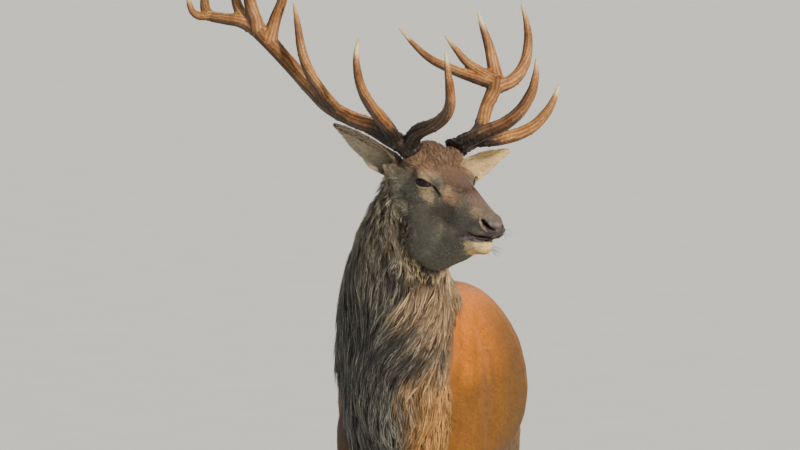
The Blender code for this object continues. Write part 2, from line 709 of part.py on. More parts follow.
def antler(which, c, cutters):
    tines, side = ANTLERS[which]
    made = [tine_curve(name, points, side, c) for name, points in tines.items()]
    seat = Vector((BURR_SEAT[0], side * BURR_SEAT[1], BURR_SEAT[2]))
    first, second = tines["beam"][0][0], tines["beam"][1][0]
    rise = Vector((second[0] - first[0], side * (second[1] - first[1]), second[2] - first[2]))
    rise = (rise.normalized() + Vector((0, 0, 0.8))).normalized()
    burr_axes = head_matrix() @ axes_from(seat, rise)
    burr = muscle("burr", (0, 0, 0), (BURR_RADIUS, BURR_RADIUS, BURR_HEIGHT), (0, 0, 0), c)
    burr.data.transform(burr_axes)
    whole = joined(f"antler_{which}_beam", made + [burr], c)
    fuse(whole, ANTLER_VOXEL, 5, ANTLER_TRIANGLES if which == "left" else ANTLER_TRIANGLES * 1.25)
    # What lies under the burr's plane is the stag's pedicle.
    under = block("under_burr", burr_axes, (-0.07, -0.07, -0.1), (0.07, 0.07, CUT_GAP / 2), cutters)
    boolean(whole, under, "DIFFERENCE")
    pieces = []
    for name, points in tines.items():
        if name == "beam":
            continue
        beyond = along(points, TINE_CUTS[name])
        piece = duplicate(whole, f"antler_{which}_{name}", c)
        beyond = beyond[:-1] + [(overshoot(beyond, 0.012), beyond[-1][1])]
        boolean(piece, tine_curve("sleeve", beyond, side, cutters, 1.25, 0.001), "INTERSECT")
        wider = tine_curve("sleeve", backed_up(beyond, CUT_GAP), side, cutters, 1.25, 0.001 + CUT_GAP)
        boolean(whole, wider, "DIFFERENCE")
        pieces.append(piece)
    return [whole] + pieces, burr_axes


# ---------------------------------------------------------------- the stag
def finish_node(obj, name, finish):
    obj.name = name
    obj.data.name = name
    obj.data.materials.clear()
    obj.data.materials.append(material(finish))
    for face in obj.data.polygons:
        face.material_index = 0
    obj.data.shade_smooth()
    obj.data.set_sharp_from_angle(angle=radians(40))


def build():
    clear_scene()
    stag = new_collection("red_deer_stag")
    cutters = new_collection("cutters")

    masses = trunk_masses(stag) + neck_masses(stag) + tail_masses(stag)
    masses += leg_masses(stag) + head_masses(stag)
    flesh = joined("trunk", masses, stag)
    fuse(flesh, FLESH_VOXEL, 9, FLESH_TRIANGLES)

    nodes = []
    burr_axes = {}
    for which in ANTLERS:
        made, burr_axes[which] = antler(which, stag, cutters)
        nodes += [(obj, obj.name, "antler") for obj in made]
        low, high = (-0.045, -0.045, -CUT_GAP / 2), (0.045, 0.045, 0.06)
        over = block("over_burr", burr_axes[which], low, high, cutters)
        boolean(flesh, over, "DIFFERENCE")

    head_axes = head_matrix()
    for name in EARS:
        root, tip, _ = (Vector(v) for v in EARS[name])
        plane = head_axes @ axes_from(root + (tip - root).normalized() * 0.012, tip - root)
        leaf = ear(name, stag)
        boolean(leaf, block("ear_keep", plane, (-0.1, -0.1, 0), (0.1, 0.1, 0.3), cutters), "INTERSECT")
        drop = block("ear_drop", plane, (-0.05, -0.05, -CUT_GAP), (0.05, 0.05, 0.05), cutters)
        boolean(flesh, drop, "DIFFERENCE")
        nodes.append((leaf, name, "face"))

    throat_cut = head_axes @ axes_from(Vector((-0.106, 0, 0)), Vector((0.97, 0, 0.23)))
    head = part_off(flesh, "head", throat_cut, (0.240, 0.30, 0.5), stag, cutters)
    nodes.append((head, "head", "face"))
    for side, name in ((1, "eye_left"), (-1, "eye_right")):
        centre = head_axes @ Vector((EYE_SEAT[0], side * EYE_SEAT[1], EYE_SEAT[2]))
        ball = muscle(name, centre, (EYE_RADIUS,) * 3, (0, 90, 0), stag, 14)
        socket = muscle("socket", centre, (EYE_RADIUS + CUT_GAP,) * 3, (0, 90, 0), cutters, 14)
        boolean(head, socket, "DIFFERENCE")
        nodes.append((ball, name, "eye"))

    neck_cut = axes_from(Vector((0.205, 0, 1.075)), Vector((0.72, 0, 0.69)))
    nodes.append((part_off(flesh, "neck", neck_cut, (0.40, 0.40, 0.7), stag, cutters), "neck", "mane"))
    tail_cut = axes_from(Vector((-1.050, 0, 1.006)), Vector((-0.50, 0, -0.86)))
    nodes.append((part_off(flesh, "tail", tail_cut, (0.045, 0.06, 0.3), stag, cutters), "tail", "coat"))
    for leg, (stations, side, _) in LEGS.items():
        hind = stations is HIND_LEG
        top = Vector((-0.89, side * 0.135, 0.735)) if hind else Vector((0.02, side * 0.135, 0.638))
        reach = (0.20, 0.085, 0.2) if hind else (0.14, 0.085, 0.2)
        piece = part_leg(flesh, f"leg_{leg}", top, side, reach, 0.28, stag, cutters)
        foot = leg_station(leg, stations[-1])
        ground = Matrix.Translation((foot.x, foot.y, 0))
        sole = block("under_leg", ground, (-0.1, -0.1, -0.1), (0.1, 0.1, CLAW_HEIGHT + CUT_GAP), cutters)
        boolean(piece, sole, "DIFFERENCE")
        for toe, outwards in (("outer", 1), ("inner", -1)):
            boolean(piece, dewclaw("dewclaw_seat", leg, outwards, cutters, CUT_GAP), "DIFFERENCE")
            name = f"dewclaw_{leg}_{toe}"
            nodes.append((dewclaw(name, leg, outwards, stag), name, "hoof"))
        nodes.append((piece, f"leg_{leg}", "leg"))
    for horn in hooves(stag):
        nodes.append((horn, horn.name, "hoof"))
    nodes.append((flesh, "trunk", "coat"))

    for obj, name, finish in nodes:
        drop_slivers(obj)
        finish_node(obj, name, finish)
    return [obj for obj, _, _ in nodes], cutters


def to_origin(nodes):
    """Moves the stag so that the middle of its bounding box is over the origin, and its soles are at 0."""
    corners = [obj.matrix_world @ vert.co for obj in nodes for vert in obj.data.vertices]
    shift = Vector((
        -(min(p.x for p in corners) + max(p.x for p in corners)) / 2,
        -(min(p.y for p in corners) + max(p.y for p in corners)) / 2,
        -min(p.z for p in corners),
    ))
    for obj in nodes:
        obj.data.transform(Matrix.Translation(shift))
    return shift


NODES, CUTTERS = build()
SHIFT = to_origin(NODES)
for cutter in CUTTERS.objects:
    cutter.data.transform(Matrix.Translation(SHIFT))
    cutter.hide_render = True
    cutter.display_type = "WIRE"
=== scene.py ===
# %% [markdown]
# # A red deer stag, life size
# A museum's stag is a shaped body with a real coat on it. This lesson makes one the same way. First comes
# one smooth skin with the face modelled into it, then the eyes, the antlers and the hooves, and last the
# coat, which is made of many thousands of small solid locks. Everything is in metres. The stag faces +X,
# his left is +Y, and the floor is at zero.

# %% Load the frame
from math import cos, pi, radians, sin

import bpy
import numpy as np
from mathutils import Matrix, Vector
from mathutils.bvhtree import BVHTree
from mathutils.geometry import interpolate_bezier
from mathutils.kdtree import KDTree


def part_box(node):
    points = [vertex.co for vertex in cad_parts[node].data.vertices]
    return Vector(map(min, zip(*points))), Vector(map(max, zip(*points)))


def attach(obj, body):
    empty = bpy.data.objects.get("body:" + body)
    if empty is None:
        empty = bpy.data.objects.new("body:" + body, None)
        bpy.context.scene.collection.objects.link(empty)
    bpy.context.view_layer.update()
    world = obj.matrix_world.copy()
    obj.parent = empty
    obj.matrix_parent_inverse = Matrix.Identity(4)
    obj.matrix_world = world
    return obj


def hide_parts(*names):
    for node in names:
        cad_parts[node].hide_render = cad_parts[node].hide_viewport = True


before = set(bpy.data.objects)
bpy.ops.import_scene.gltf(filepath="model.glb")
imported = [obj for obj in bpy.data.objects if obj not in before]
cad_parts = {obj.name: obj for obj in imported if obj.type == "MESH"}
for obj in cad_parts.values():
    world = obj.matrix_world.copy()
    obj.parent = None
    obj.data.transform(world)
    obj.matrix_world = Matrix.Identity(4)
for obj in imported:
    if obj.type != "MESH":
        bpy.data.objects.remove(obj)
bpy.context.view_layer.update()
chance = np.random.default_rng(1859)  # every random choice below comes from this one seed


# %% [markdown]
# Each head is a little different and is turned its own way, so a head modeller works in the head's own
# directions: forward, left and up, from a point midway between the eyes. The eyes of the frame give that
# point and the turn. Two small helpers go from the floor's directions to the head's and back.

# %% The head's own directions
HEAD_NOD = radians(6.7)  # muzzle down
EYE_SEAT = Vector((-0.002, 0.0675, 0.002))  # forward, sideways and up from between the eyes
UP = Vector((0, 0, 1))


def middle(node):
    low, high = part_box(node)
    return (low + high) / 2


leftward = (middle("eye_left") - middle("eye_right")).normalized()
ahead = leftward.cross(UP).normalized() * cos(HEAD_NOD) - UP * sin(HEAD_NOD)
crownward = ahead.cross(leftward)
HEAD_TURN = Matrix((ahead, leftward, crownward)).transposed()
TURN = np.array(HEAD_TURN)
eyes_middle = (middle("eye_left") + middle("eye_right")) / 2
HEAD_ORIGIN = eyes_middle - HEAD_TURN @ Vector((EYE_SEAT.x, 0, EYE_SEAT.z))
HEAD = Matrix.Translation(HEAD_ORIGIN) @ HEAD_TURN.to_4x4()
WITHERS = HEAD_ORIGIN - Vector((0.468, 0.138, 1.480))  # on the floor, under the withers
FLOOR_SPOT = np.array(WITHERS)


def to_head(points):
    return (points - np.array(HEAD_ORIGIN)) @ TURN


def from_head(points):
    return np.asarray(points, float) @ TURN.T + np.array(HEAD_ORIGIN)


print("between the eyes:", [round(v, 3) for v in HEAD_ORIGIN])


# %% [markdown]
# A large animal is best seen from well back, through a long lens, so that the head doesn't swell.
# The camera is 15 m away and a little above the head, and looks almost straight at the chest. It is
# aimed beside the head, at the middle of the picture.

# %% The camera
CAMERA_SIDE = radians(7)
CAMERA_RISE = radians(3.5)
CAMERA_DISTANCE = 15.0
PICTURE_WIDTH = 2.0  # metres across at the head
AIM_RIGHT, AIM_DOWN = -0.11625, 0.10575  # from the head to the middle of the picture


def placed(name, data):
    """A new object in the scene."""
    made = bpy.data.objects.new(name, data)
    bpy.context.scene.collection.objects.link(made)
    return made


level = Vector((cos(CAMERA_SIDE), sin(CAMERA_SIDE), 0))
screen_right = Vector((-sin(CAMERA_SIDE), cos(CAMERA_SIDE), 0))
backward = level * cos(CAMERA_RISE) + UP * sin(CAMERA_RISE)
screen_up = UP * cos(CAMERA_RISE) - level * sin(CAMERA_RISE)
camera_data = bpy.data.cameras.new("camera")
camera_data.sensor_width = 36
camera_data.lens = 36 * CAMERA_DISTANCE / PICTURE_WIDTH
camera_data.clip_end = 400
camera = placed("camera", camera_data)
camera.matrix_world = Matrix((screen_right, screen_up, backward)).transposed().to_4x4()
camera.location = HEAD_ORIGIN + backward * CAMERA_DISTANCE + screen_right * AIM_RIGHT - screen_up * AIM_DOWN
bpy.context.scene.camera = camera
print("camera", round(camera.location.z, 2), "m above the floor, lens", round(camera_data.lens), "mm")


# %% [markdown]
# Soft studio light shows a coat best when one large warm lamp stands to the side, not so high that the
# antlers shade the ears, and a weak cool one fills the shadows from the other side. Sun lamps with a wide
# angle do this evenly over the whole floor. A pale world lights the rest.

# %% Light
def lamp(name, rightward, towards_camera, upward, strength, colour, softness):
    """A wide sun lamp that shines from the given side of the camera's view."""
    data = bpy.data.lights.new(name, "SUN")
    data.energy = strength
    data.color = colour
    data.angle = radians(softness)
    made = placed(name, data)
    source = screen_right * rightward + level * towards_camera + UP * upward
    made.rotation_euler = source.to_track_quat("Z", "Y").to_euler()
    return made


lamp("key", 0.62, 0.80, 0.41, 5.0, (1.0, 0.89, 0.72), 6)
lamp("fill", -0.8, 0.9, 0.35, 0.5, (0.86, 0.92, 1.0), 9)
lamp("rim", 0.1, -0.9, 0.75, 0.9, (1.0, 0.92, 0.80), 20)
world = bpy.data.worlds.new("studio")
world.use_nodes = True
world.node_tree.nodes["Background"].inputs["Color"].default_value = (0.86, 0.90, 0.95, 1)
world.node_tree.nodes["Background"].inputs["Strength"].default_value = 0.55
bpy.context.scene.world = world


# %% [markdown]
# A material is a small tree of nodes, and most of them here need the same few: a noise that reads object
# coordinates, a ramp from one colour to another, and a bump. Short helpers keep each material readable.

# %% Material helpers
def new_material(name):
    made = bpy.data.materials.new(name)
    made.use_nodes = True
    tree = made.node_tree
    return made, tree, tree.nodes["Principled BSDF"]


def node(tree, kind, **values):
    made = tree.nodes.new(kind)
    for name, value in values.items():
        if name in made.inputs:
            made.inputs[name].default_value = value
        else:
            setattr(made, name, value)
    return made


def noise(tree, vector, scale, detail=3.0, roughness=0.55):
    made = node(tree, "ShaderNodeTexNoise", Scale=scale, Detail=detail, Roughness=roughness)
    tree.links.new(vector, made.inputs["Vector"])
    return made.outputs["Fac"]


def spread(tree, value, low, high, new_low=0.0, new_high=1.0):
    """Stretches a value's range, and holds it at the ends."""
    made = node(tree, "ShaderNodeMapRange")
    for socket, number in (("From Min", low), ("From Max", high), ("To Min", new_low), ("To Max", new_high)):
        made.inputs[socket].default_value = number
    tree.links.new(value, made.inputs["Value"])
    return made.outputs["Result"]


def mixed(tree, share, first, second, blend="MIX"):
    """A colour mix. first and second are sockets or plain colours, and share is a socket or a number."""
    made = node(tree, "ShaderNodeMix", data_type="RGBA", blend_type=blend)
    sockets = (made.inputs[0], made.inputs[6], made.inputs[7])
    for socket, value in zip(sockets, (share, first, second)):
        if isinstance(value, bpy.types.NodeSocket):
            tree.links.new(value, socket)
        elif isinstance(value, tuple):
            socket.default_value = (*value, 1)
        else:
            socket.default_value = value
    return made.outputs[2]


def bump(tree, shader, height, distance, strength=1.0):
    made = node(tree, "ShaderNodeBump", Distance=distance, Strength=strength)
    tree.links.new(height, made.inputs["Height"])
    tree.links.new(made.outputs["Normal"], shader.inputs["Normal"])


def object_points(tree):
    return node(tree, "ShaderNodeTexCoord").outputs["Object"]


# %% [markdown]
# The floor of a studio is one pale sheet that runs far back, so that it also makes the background. A disc
# is enough, with a faint mottle so that it doesn't look like plain paint.

# %% The floor
bpy.ops.object.select_all(action="DESELECT")
bpy.ops.mesh.primitive_circle_add(vertices=96, radius=160, fill_type="NGON")
floor = bpy.context.object
floor.name = "floor"
floor_finish, tree, shader = new_material("pale_floor")
mottle = spread(tree, noise(tree, object_points(tree), 3.0), 0.3, 0.7)
tree.links.new(mixed(tree, mottle, (0.60, 0.61, 0.59), (0.65, 0.655, 0.635)), shader.inputs["Base Color"])
tree.links.new(spread(tree, mottle, 0, 1, 0.7, 0.85), shader.inputs["Roughness"])
floor.data.materials.append(floor_finish)


# %% [markdown]
# A taxidermist starts from a form of the body without its hair. The frame's solids are the outline with
# the hair on, so a copy of them, drawn in by the coat's depth, gives that form. Points and directions of a
# mesh are handled as arrays here, because the skin has very many of them.

# %% Mesh helpers
def positions(obj):
    flat = np.empty(len(obj.data.vertices) * 3, np.float32)
    obj.data.vertices.foreach_get("co", flat)
    return flat.reshape(-1, 3).astype(float)


def directions(obj):
    """Which way each point of the mesh faces."""
    flat = np.empty(len(obj.data.vertices) * 3, np.float32)
    obj.data.vertex_normals.foreach_get("vector", flat)
    return flat.reshape(-1, 3).astype(float)


def move_points(obj, points):
    obj.data.vertices.foreach_set("co", points.astype(np.float32).ravel())
    obj.data.update()


def rise(value, low, high):
    """0 below low, 1 above high, and a smooth rise between."""
    share = np.clip((value - low) / (high - low), 0, 1)
    return share * share * (3 - 2 * share)


def unit(vectors):
    return vectors / np.maximum(np.linalg.norm(vectors, axis=-1, keepdims=True), 1e-9)


def choose(objects):
    """Selects these objects and nothing else."""
    bpy.ops.object.select_all(action="DESELECT")
    for obj in objects:
        obj.select_set(True)
    bpy.context.view_layer.objects.active = objects[0]


def apply_modifier(obj, kind, **values):
    choose([obj])
    made = obj.modifiers.new(kind.lower(), kind)
    for name, value in values.items():
        setattr(made, name, value)
    bpy.ops.object.modifier_apply(modifier=made.name)


def choose_points(obj, mask):
    """Goes into edit mode with these points selected."""
    choose([obj])
    obj.data.polygons.foreach_set("select", np.zeros(len(obj.data.polygons), bool))
    obj.data.edges.foreach_set("select", np.zeros(len(obj.data.edges), bool))
    obj.data.vertices.foreach_set("select", mask)
    bpy.context.tool_settings.mesh_select_mode = (True, False, False)
    bpy.ops.object.mode_set(mode="EDIT")


def choose_all(obj):
    choose_points(obj, np.ones(len(obj.data.vertices), bool))


def faces_of(obj):
    return sum(len(face.vertices) - 2 for face in obj.data.polygons)


# %% [markdown]
# The body needs no new modelling: the frame's trunk, tail and legs have the right shape. Their copies are
# merged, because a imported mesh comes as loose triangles, and swelled by a hair's breadth, so that the thin
# cuts between them close when they are remeshed.

# %% Copies of the body
CUT_CLOSING = 0.0010
BODY_NODES = ["trunk", "tail", "leg_front_left", "leg_front_right", "leg_hind_left", "leg_hind_right"]


def copy_of(name):
    made = placed(name + "_copy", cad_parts[name].data.copy())
    choose_all(made)
    bpy.ops.mesh.remove_doubles(threshold=0.0001)
    bpy.ops.object.mode_set(mode="OBJECT")
    move_points(made, positions(made) + directions(made) * CUT_CLOSING)
    return made


flesh = [copy_of(name) for name in BODY_NODES + ["neck"]]
print("body copies:", len(flesh))


# %% [markdown]
# The head is worth building again, finer than the frame has it. Its bulk is two lofts, one for the skull
# and one for the jaw. A loft is a skin through rings, and each ring has a place, a half-width, a top and a
# bottom. Egg shapes then stand for the soft parts: cheeks, brows, lips, nostrils and ear roots.

# %% Skull and jaw
SKULL = [  # forward, half-width, top, bottom, boxiness (1 is round)
    (-0.150, 0.040, 0.020, -0.060, 1.00), (-0.125, 0.060, 0.054, -0.090, 0.95),
    (-0.095, 0.069, 0.074, -0.105, 0.90), (-0.065, 0.072, 0.079, -0.112, 0.88),
    (-0.035, 0.072, 0.071, -0.115, 0.88), (0.000, 0.067, 0.053, -0.117, 0.90),
    (0.035, 0.058, 0.035, -0.118, 0.90), (0.070, 0.049, 0.017, -0.118, 0.90),
    (0.105, 0.042, 0.001, -0.117, 0.88), (0.138, 0.038, -0.018, -0.114, 0.88),
    (0.170, 0.036, -0.034, -0.110, 0.88), (0.198, 0.036, -0.046, -0.106, 0.88),
    (0.222, 0.035, -0.055, -0.101, 0.90), (0.238, 0.030, -0.062, -0.096, 0.95),
    (0.247, 0.018, -0.070, -0.090, 1.00),
]
JAW = [
    (-0.085, 0.036, -0.060, -0.160, 1.00), (-0.050, 0.054, -0.060, -0.200, 0.95),
    (0.000, 0.054, -0.070, -0.213, 0.95), (0.045, 0.047, -0.090, -0.205, 1.00),
    (0.090, 0.038, -0.105, -0.186, 1.00), (0.125, 0.032, -0.112, -0.164, 1.00),
    (0.155, 0.029, -0.117, -0.157, 0.95), (0.183, 0.028, -0.117, -0.153, 0.95),
    (0.204, 0.022, -0.119, -0.146, 1.00), (0.213, 0.013, -0.122, -0.138, 1.00),
]
RING_SIDES = 48


def new_object(name, points, faces):
    mesh = bpy.data.meshes.new(name)
    mesh.from_pydata([tuple(p) for p in points], [], faces)
    made = placed(name, mesh)
    return made


def loft(name, rings, middle_share):
    """A closed skin through upright rings. middle_share is how high the widest place of a ring is."""
    points, faces = [], []
    for forward, half_width, top, bottom, boxiness in rings:
        centre = bottom + middle_share * (top - bottom)
        for i in range(RING_SIDES):
            angle = 2 * pi * i / RING_SIDES
            across = np.sign(cos(angle)) * abs(cos(angle)) ** boxiness
            height = np.sign(sin(angle)) * abs(sin(angle)) ** boxiness
            reach = top - centre if height > 0 else centre - bottom
            points.append((forward, across * half_width, centre + height * reach))
    for start in range(0, len(points) - RING_SIDES, RING_SIDES):
        for i in range(RING_SIDES):
            j = (i + 1) % RING_SIDES
            faces.append((start + i, start + j, start + RING_SIDES + j, start + RING_SIDES + i))
    last = len(points) - RING_SIDES
    faces.append(tuple(range(RING_SIDES))[::-1])
    faces.append(tuple(range(last, len(points))))
    made = new_object(name, from_head(points), faces)
    choose_points(made, np.ones(len(points), bool))
    bpy.ops.mesh.normals_make_consistent(inside=False)
    bpy.ops.object.mode_set(mode="OBJECT")
    return made


flesh.append(loft("skull", SKULL, 0.60))
flesh.append(loft("jaw", JAW, 0.50))


# %% Soft parts of the head
def egg(centre, radii, tilt=(0, 0, 0)):
    """An egg shape in the head's directions. tilt is in degrees about forward, left and up."""
    bpy.ops.object.select_all(action="DESELECT")
    bpy.ops.mesh.primitive_uv_sphere_add(segments=40, ring_count=26, radius=1)
    made = bpy.context.object
    turn = Matrix.Identity(4)
    for axis, degrees in zip("XYZ", tilt):
        turn = Matrix.Rotation(radians(degrees), 4, axis) @ turn
    made.data.transform(HEAD @ Matrix.Translation(centre) @ turn @ Matrix.Diagonal((*radii, 1)))
    return made


PAIRED_EGGS = [  # place (forward, sideways, up), radii, tilt, for the left side
    ((0.075, 0.026, -0.118), (0.065, 0.020, 0.036), (0, 10, -6)),  # corner of the mouth
    ((0.000, 0.057, 0.016), (0.046, 0.021, 0.022), (0, 16, -10)),  # brow
    ((-0.020, 0.046, -0.100), (0.078, 0.030, 0.085), (0, 25, 0)),  # cheek
    ((0.020, 0.045, -0.050), (0.080, 0.022, 0.020), (0, 22, -14)),  # cheek bone
    ((0.180, 0.020, -0.092), (0.060, 0.020, 0.019), (0, 6, -4)),  # upper lip
    ((0.211, 0.025, -0.067), (0.025, 0.013, 0.020), (0, 20, -15)),  # nostril
    ((0.165, 0.018, -0.128), (0.050, 0.014, 0.013), (0, -6, -8)),  # lower lip
    ((-0.090, 0.060, 0.000), (0.055, 0.026, 0.055), (0, 0, 0)),  # temple
    ((-0.108, 0.070, 0.002), (0.034, 0.034, 0.036), (0, 0, 0)),  # ear root
    ((-0.062, 0.062, 0.058), (0.031, 0.031, 0.030), (0, 0, 0)),  # pedicle, under the antler
]
MIDDLE_EGGS = [
    ((0.225, 0, -0.075), (0.024, 0.031, 0.019), (0, 20, 0)),  # nose pad
    ((-0.060, 0, 0.066), (0.060, 0.045, 0.026), (0, 20, 0)),  # forehead
    ((0.185, 0, -0.136), (0.030, 0.022, 0.019), (0, 0, 0)),  # chin
]
for (forward, sideways, height), radii, (roll, nod, turn) in PAIRED_EGGS:
    for side in (1, -1):
        flesh.append(egg((forward, side * sideways, height), radii, (side * roll, nod, side * turn)))
for place, radii, tilt in MIDDLE_EGGS:
    flesh.append(egg(place, radii, tilt))
EARS = {  # root, tip, and the way the open side faces, in the head's directions
    "left": ((-0.108, 0.088, -0.032), (-0.085, 0.255, 0.062), (0.85, -0.15, -0.25)),
    "right": ((-0.112, -0.086, 0.008), (-0.176, -0.232, 0.128), (0.46, -0.64, -0.60)),
}
for side in (1, -1):
    flesh.append(egg((EYE_SEAT.x, side * EYE_SEAT.y, EYE_SEAT.z), (0.0235, 0.0215, 0.0215)))
for root, tip, _ in EARS.values():
    foot = Vector(root) + (Vector(tip) - Vector(root)) * 0.04
    flesh.append(egg(foot, (0.034, 0.032, 0.032)))
print("masses:", len(flesh))


# %% [markdown]
# The neck joins the head inside the mane. Its own masses are eggs along a curve, from the breast up to
# behind the ears, and one more for the throat, so that head and body meet with no step.

# %% The upper neck
NECK_EGGS = [  # from the withers: forward, left, up, then half-length, half-width, half-height and lean
    (0.250, -0.012, 1.180, 0.172, 0.146, 0.090, -30), (0.290, -0.006, 1.250, 0.160, 0.138, 0.090, -30),
    (0.322, 0.004, 1.320, 0.146, 0.126, 0.090, -30), (0.348, 0.018, 1.385, 0.132, 0.108, 0.085, -30),
    (0.366, 0.030, 1.440, 0.116, 0.090, 0.080, -30), (0.385, 0.048, 1.492, 0.086, 0.064, 0.070, -30),
    (0.350, 0.030, 1.170, 0.110, 0.118, 0.220, -10),
]
for x, y, z, half_length, half_width, half_height, lean in NECK_EGGS:
    bpy.ops.object.select_all(action="DESELECT")
    bpy.ops.mesh.primitive_uv_sphere_add(segments=48, ring_count=32, radius=1)
    mass = bpy.context.object
    place = Matrix.Translation(WITHERS + Vector((x, y, z))) @ Matrix.Rotation(radians(lean), 4, "Y")
    mass.data.transform(place @ Matrix.Diagonal((half_length, half_width, half_height, 1)))
    flesh.append(mass)


# %% [markdown]
# All these shapes overlap. A voxel remesh turns them into one closed surface of even small squares, and
# a smoothing pass takes away the steps. The body has no fine detail, so it gets more smoothing than the
# head, whose forms must stay.

# %% One skin
SKIN_VOXEL = 0.004

choose(flesh)
bpy.ops.object.join()
skin = bpy.context.object
skin.name = "skin"
apply_modifier(skin, "REMESH", mode="VOXEL", voxel_size=SKIN_VOXEL)
apply_modifier(skin, "SMOOTH", factor=0.5, iterations=11)
place = positions(skin)
seen_from_head = to_head(place)
thick = rise(place[:, 2], 0.62, 0.85) * (1 - rise(seen_from_head[:, 0], -0.20, -0.10))
broad = skin.vertex_groups.new(name="broad")
for weight in np.unique(np.round(thick, 1)):
    members = np.nonzero(np.round(thick, 1) == weight)[0].tolist()
    broad.add(members, float(weight), "REPLACE")
apply_modifier(skin, "SMOOTH", factor=0.5, iterations=60, vertex_group="broad")
print("skin after the remesh:", len(skin.data.polygons), "faces")


# %% [markdown]
# The coat isn't equally deep all over. It is longest in the mane, short on the flanks, and almost nothing
# on the muzzle. So the body is first divided into its regions of coat. Each region is a share from 0 to 1
# that rises smoothly across its border, and the skin, the locks and the colours all use the same shares.

# %% Regions of the coat
def behind_cheek(h):
    """How far in front of the cheek's hind border, where the mane begins, each head point lies."""
    return h[:, 0] - np.interp(h[:, 2], (-0.215, -0.17, -0.12, -0.03), (-0.062, -0.068, -0.058, -0.107))


def regions(points):
    """For each point, how much it belongs to the head, the mane, the legs, the tail and the body."""
    h = to_head(points)
    s = points - FLOOR_SPOT
    head = rise(behind_cheek(h), -0.018, 0.018) * rise(h[:, 2], -0.250, -0.222)
    neck_base = (s[:, 0] - 0.125) * 0.95 + (s[:, 2] - 1.0) * 0.32
    on_shoulder = 1 - rise(s[:, 2] + 0.6 * (s[:, 0] - 0.2), 1.13, 1.22)
    left_border = 1 - rise(s[:, 1] - 0.5 * (s[:, 0] - 0.25), 0.112, 0.140) * on_shoulder
    mane = rise(neck_base, -0.035, 0.045) * left_border * rise(s[:, 2], 0.68, 0.80) * (1 - head)
    hind = rise(-s[:, 0], 0.3, 0.5)
    legs = (1 - rise(s[:, 2], 0.56 + 0.04 * hind, 0.72 + 0.10 * hind)) * (1 - head)
    beside_tail = rise(np.abs(s[:, 1]), 0.036, 0.048)
    tail = rise(-s[:, 0], 1.030, 1.048) * (1 - beside_tail) * rise(s[:, 2], 0.84, 0.88)
    body = np.clip(1 - head - mane - legs - tail, 0, 1)
    return {"head": head, "mane": mane, "legs": legs, "tail": tail, "body": body}


def coat_depth(points):
    """How far the skin lies under the tips of the coat, in metres."""
    share = regions(points)
    h = to_head(points)
    s = points - FLOOR_SPOT
    crown = rise(h[:, 2], 0.020, 0.060) * (1 - rise(h[:, 0], 0.0, 0.04))
    face = 0.0026 + 0.004 * crown - 0.0016 * rise(h[:, 0], 0.12, 0.19)
    nape = rise(-(s[:, 0] - 0.10) * 0.86 + (s[:, 2] - 1.15) * 0.5, 0.02, 0.12)
    mane = 0.024 - 0.010 * nape
    return (share["head"] * face + share["mane"] * mane + share["legs"] * 0.0035
            + share["tail"] * 0.009 + share["body"] * 0.0075)


# %% Draw the skin in under the coat
depth = coat_depth(positions(skin))
move_points(skin, positions(skin) - directions(skin) * depth[:, None])
apply_modifier(skin, "SMOOTH", factor=0.5, iterations=2)
print("coat from", round(depth.min() * 1000, 1), "to", round(depth.max() * 1000, 1), "mm deep")


# %% [markdown]
# A mesh should be fine only where there is something to see. The body is thinned out under its coat. The
# muzzle and the skin round the eyes are subdivided once, and once more round the eyes, the nostrils and the
# mouth.

# %% Fineness where it is needed
BODY_KEPT = 0.09
NOSTRIL_PLAN = [(0.200, 0.031, -0.055), (0.207, 0.030, -0.066),
                (0.220, 0.028, -0.069), (0.231, 0.021, -0.072)]
RIM_PLAN = [(0.193, 0.033, -0.057), (0.196, 0.035, -0.067), (0.204, 0.036, -0.077), (0.216, 0.030, -0.086)]
MOUTH_PLAN = [
    (0.230, 0.000, -0.1000), (0.222, 0.016, -0.1005), (0.196, 0.030, -0.1040),
    (0.156, 0.038, -0.1095), (0.103, 0.045, -0.1150),
]
SLIT_PLAN = [(0.0170, 0.066, 0.001), (0.033, 0.058, -0.012), (0.046, 0.051, -0.025)]


def within(value, low, high, soft):
    return rise(value, low - soft, low + soft) * (1 - rise(value, high - soft, high + soft))


def mirrored(h):
    """Head points folded onto the left side, since both sides have the same forms."""
    return np.column_stack([h[:, 0], np.abs(h[:, 1]), h[:, 2]])


def to_path(points, path):
    """Each point's distance to a path of straight stretches, and how far along the path that is."""
    nearest = np.full(len(points), 1e9)
    where = np.zeros(len(points))
    path = np.asarray(path, float)
    for i, (a, b) in enumerate(zip(path, path[1:])):
        stretch = b - a
        share = np.clip((points - a) @ stretch / (stretch @ stretch), 0, 1)
        distance = np.linalg.norm(points - a - share[:, None] * stretch, axis=1)
        closer = distance < nearest
        nearest = np.where(closer, distance, nearest)
        where = np.where(closer, (i + share) / (len(path) - 1), where)
    return nearest, where


def on_face(plan, face=None, parts=4):
    """A path through the face's own points nearest to a plan, with each stretch cut into parts."""
    face = mirrored(to_head(positions(skin))) if face is None else face
    plan = np.array(plan)
    finer = [a + (b - a) * i / parts for a, b in zip(plan, plan[1:]) for i in range(parts)] + [plan[-1]]
    return [face[np.argmin(np.linalg.norm(face - p, axis=1))] for p in finer]


place = positions(skin)
h = to_head(place)
face_or_near = (h[:, 0] > -0.125) & (h[:, 2] > -0.245)
choose_points(skin, ~face_or_near)
bpy.ops.mesh.decimate(ratio=BODY_KEPT)
bpy.ops.object.mode_set(mode="OBJECT")

place = positions(skin)
h = mirrored(to_head(place))
detailed = (h[:, 0] > 0.09) | (np.linalg.norm(h - np.array(EYE_SEAT), axis=1) < 0.052)
choose_points(skin, (regions(place)["head"] > 0.4) & detailed)
bpy.ops.mesh.subdivide(number_cuts=1)
bpy.ops.object.mode_set(mode="OBJECT")

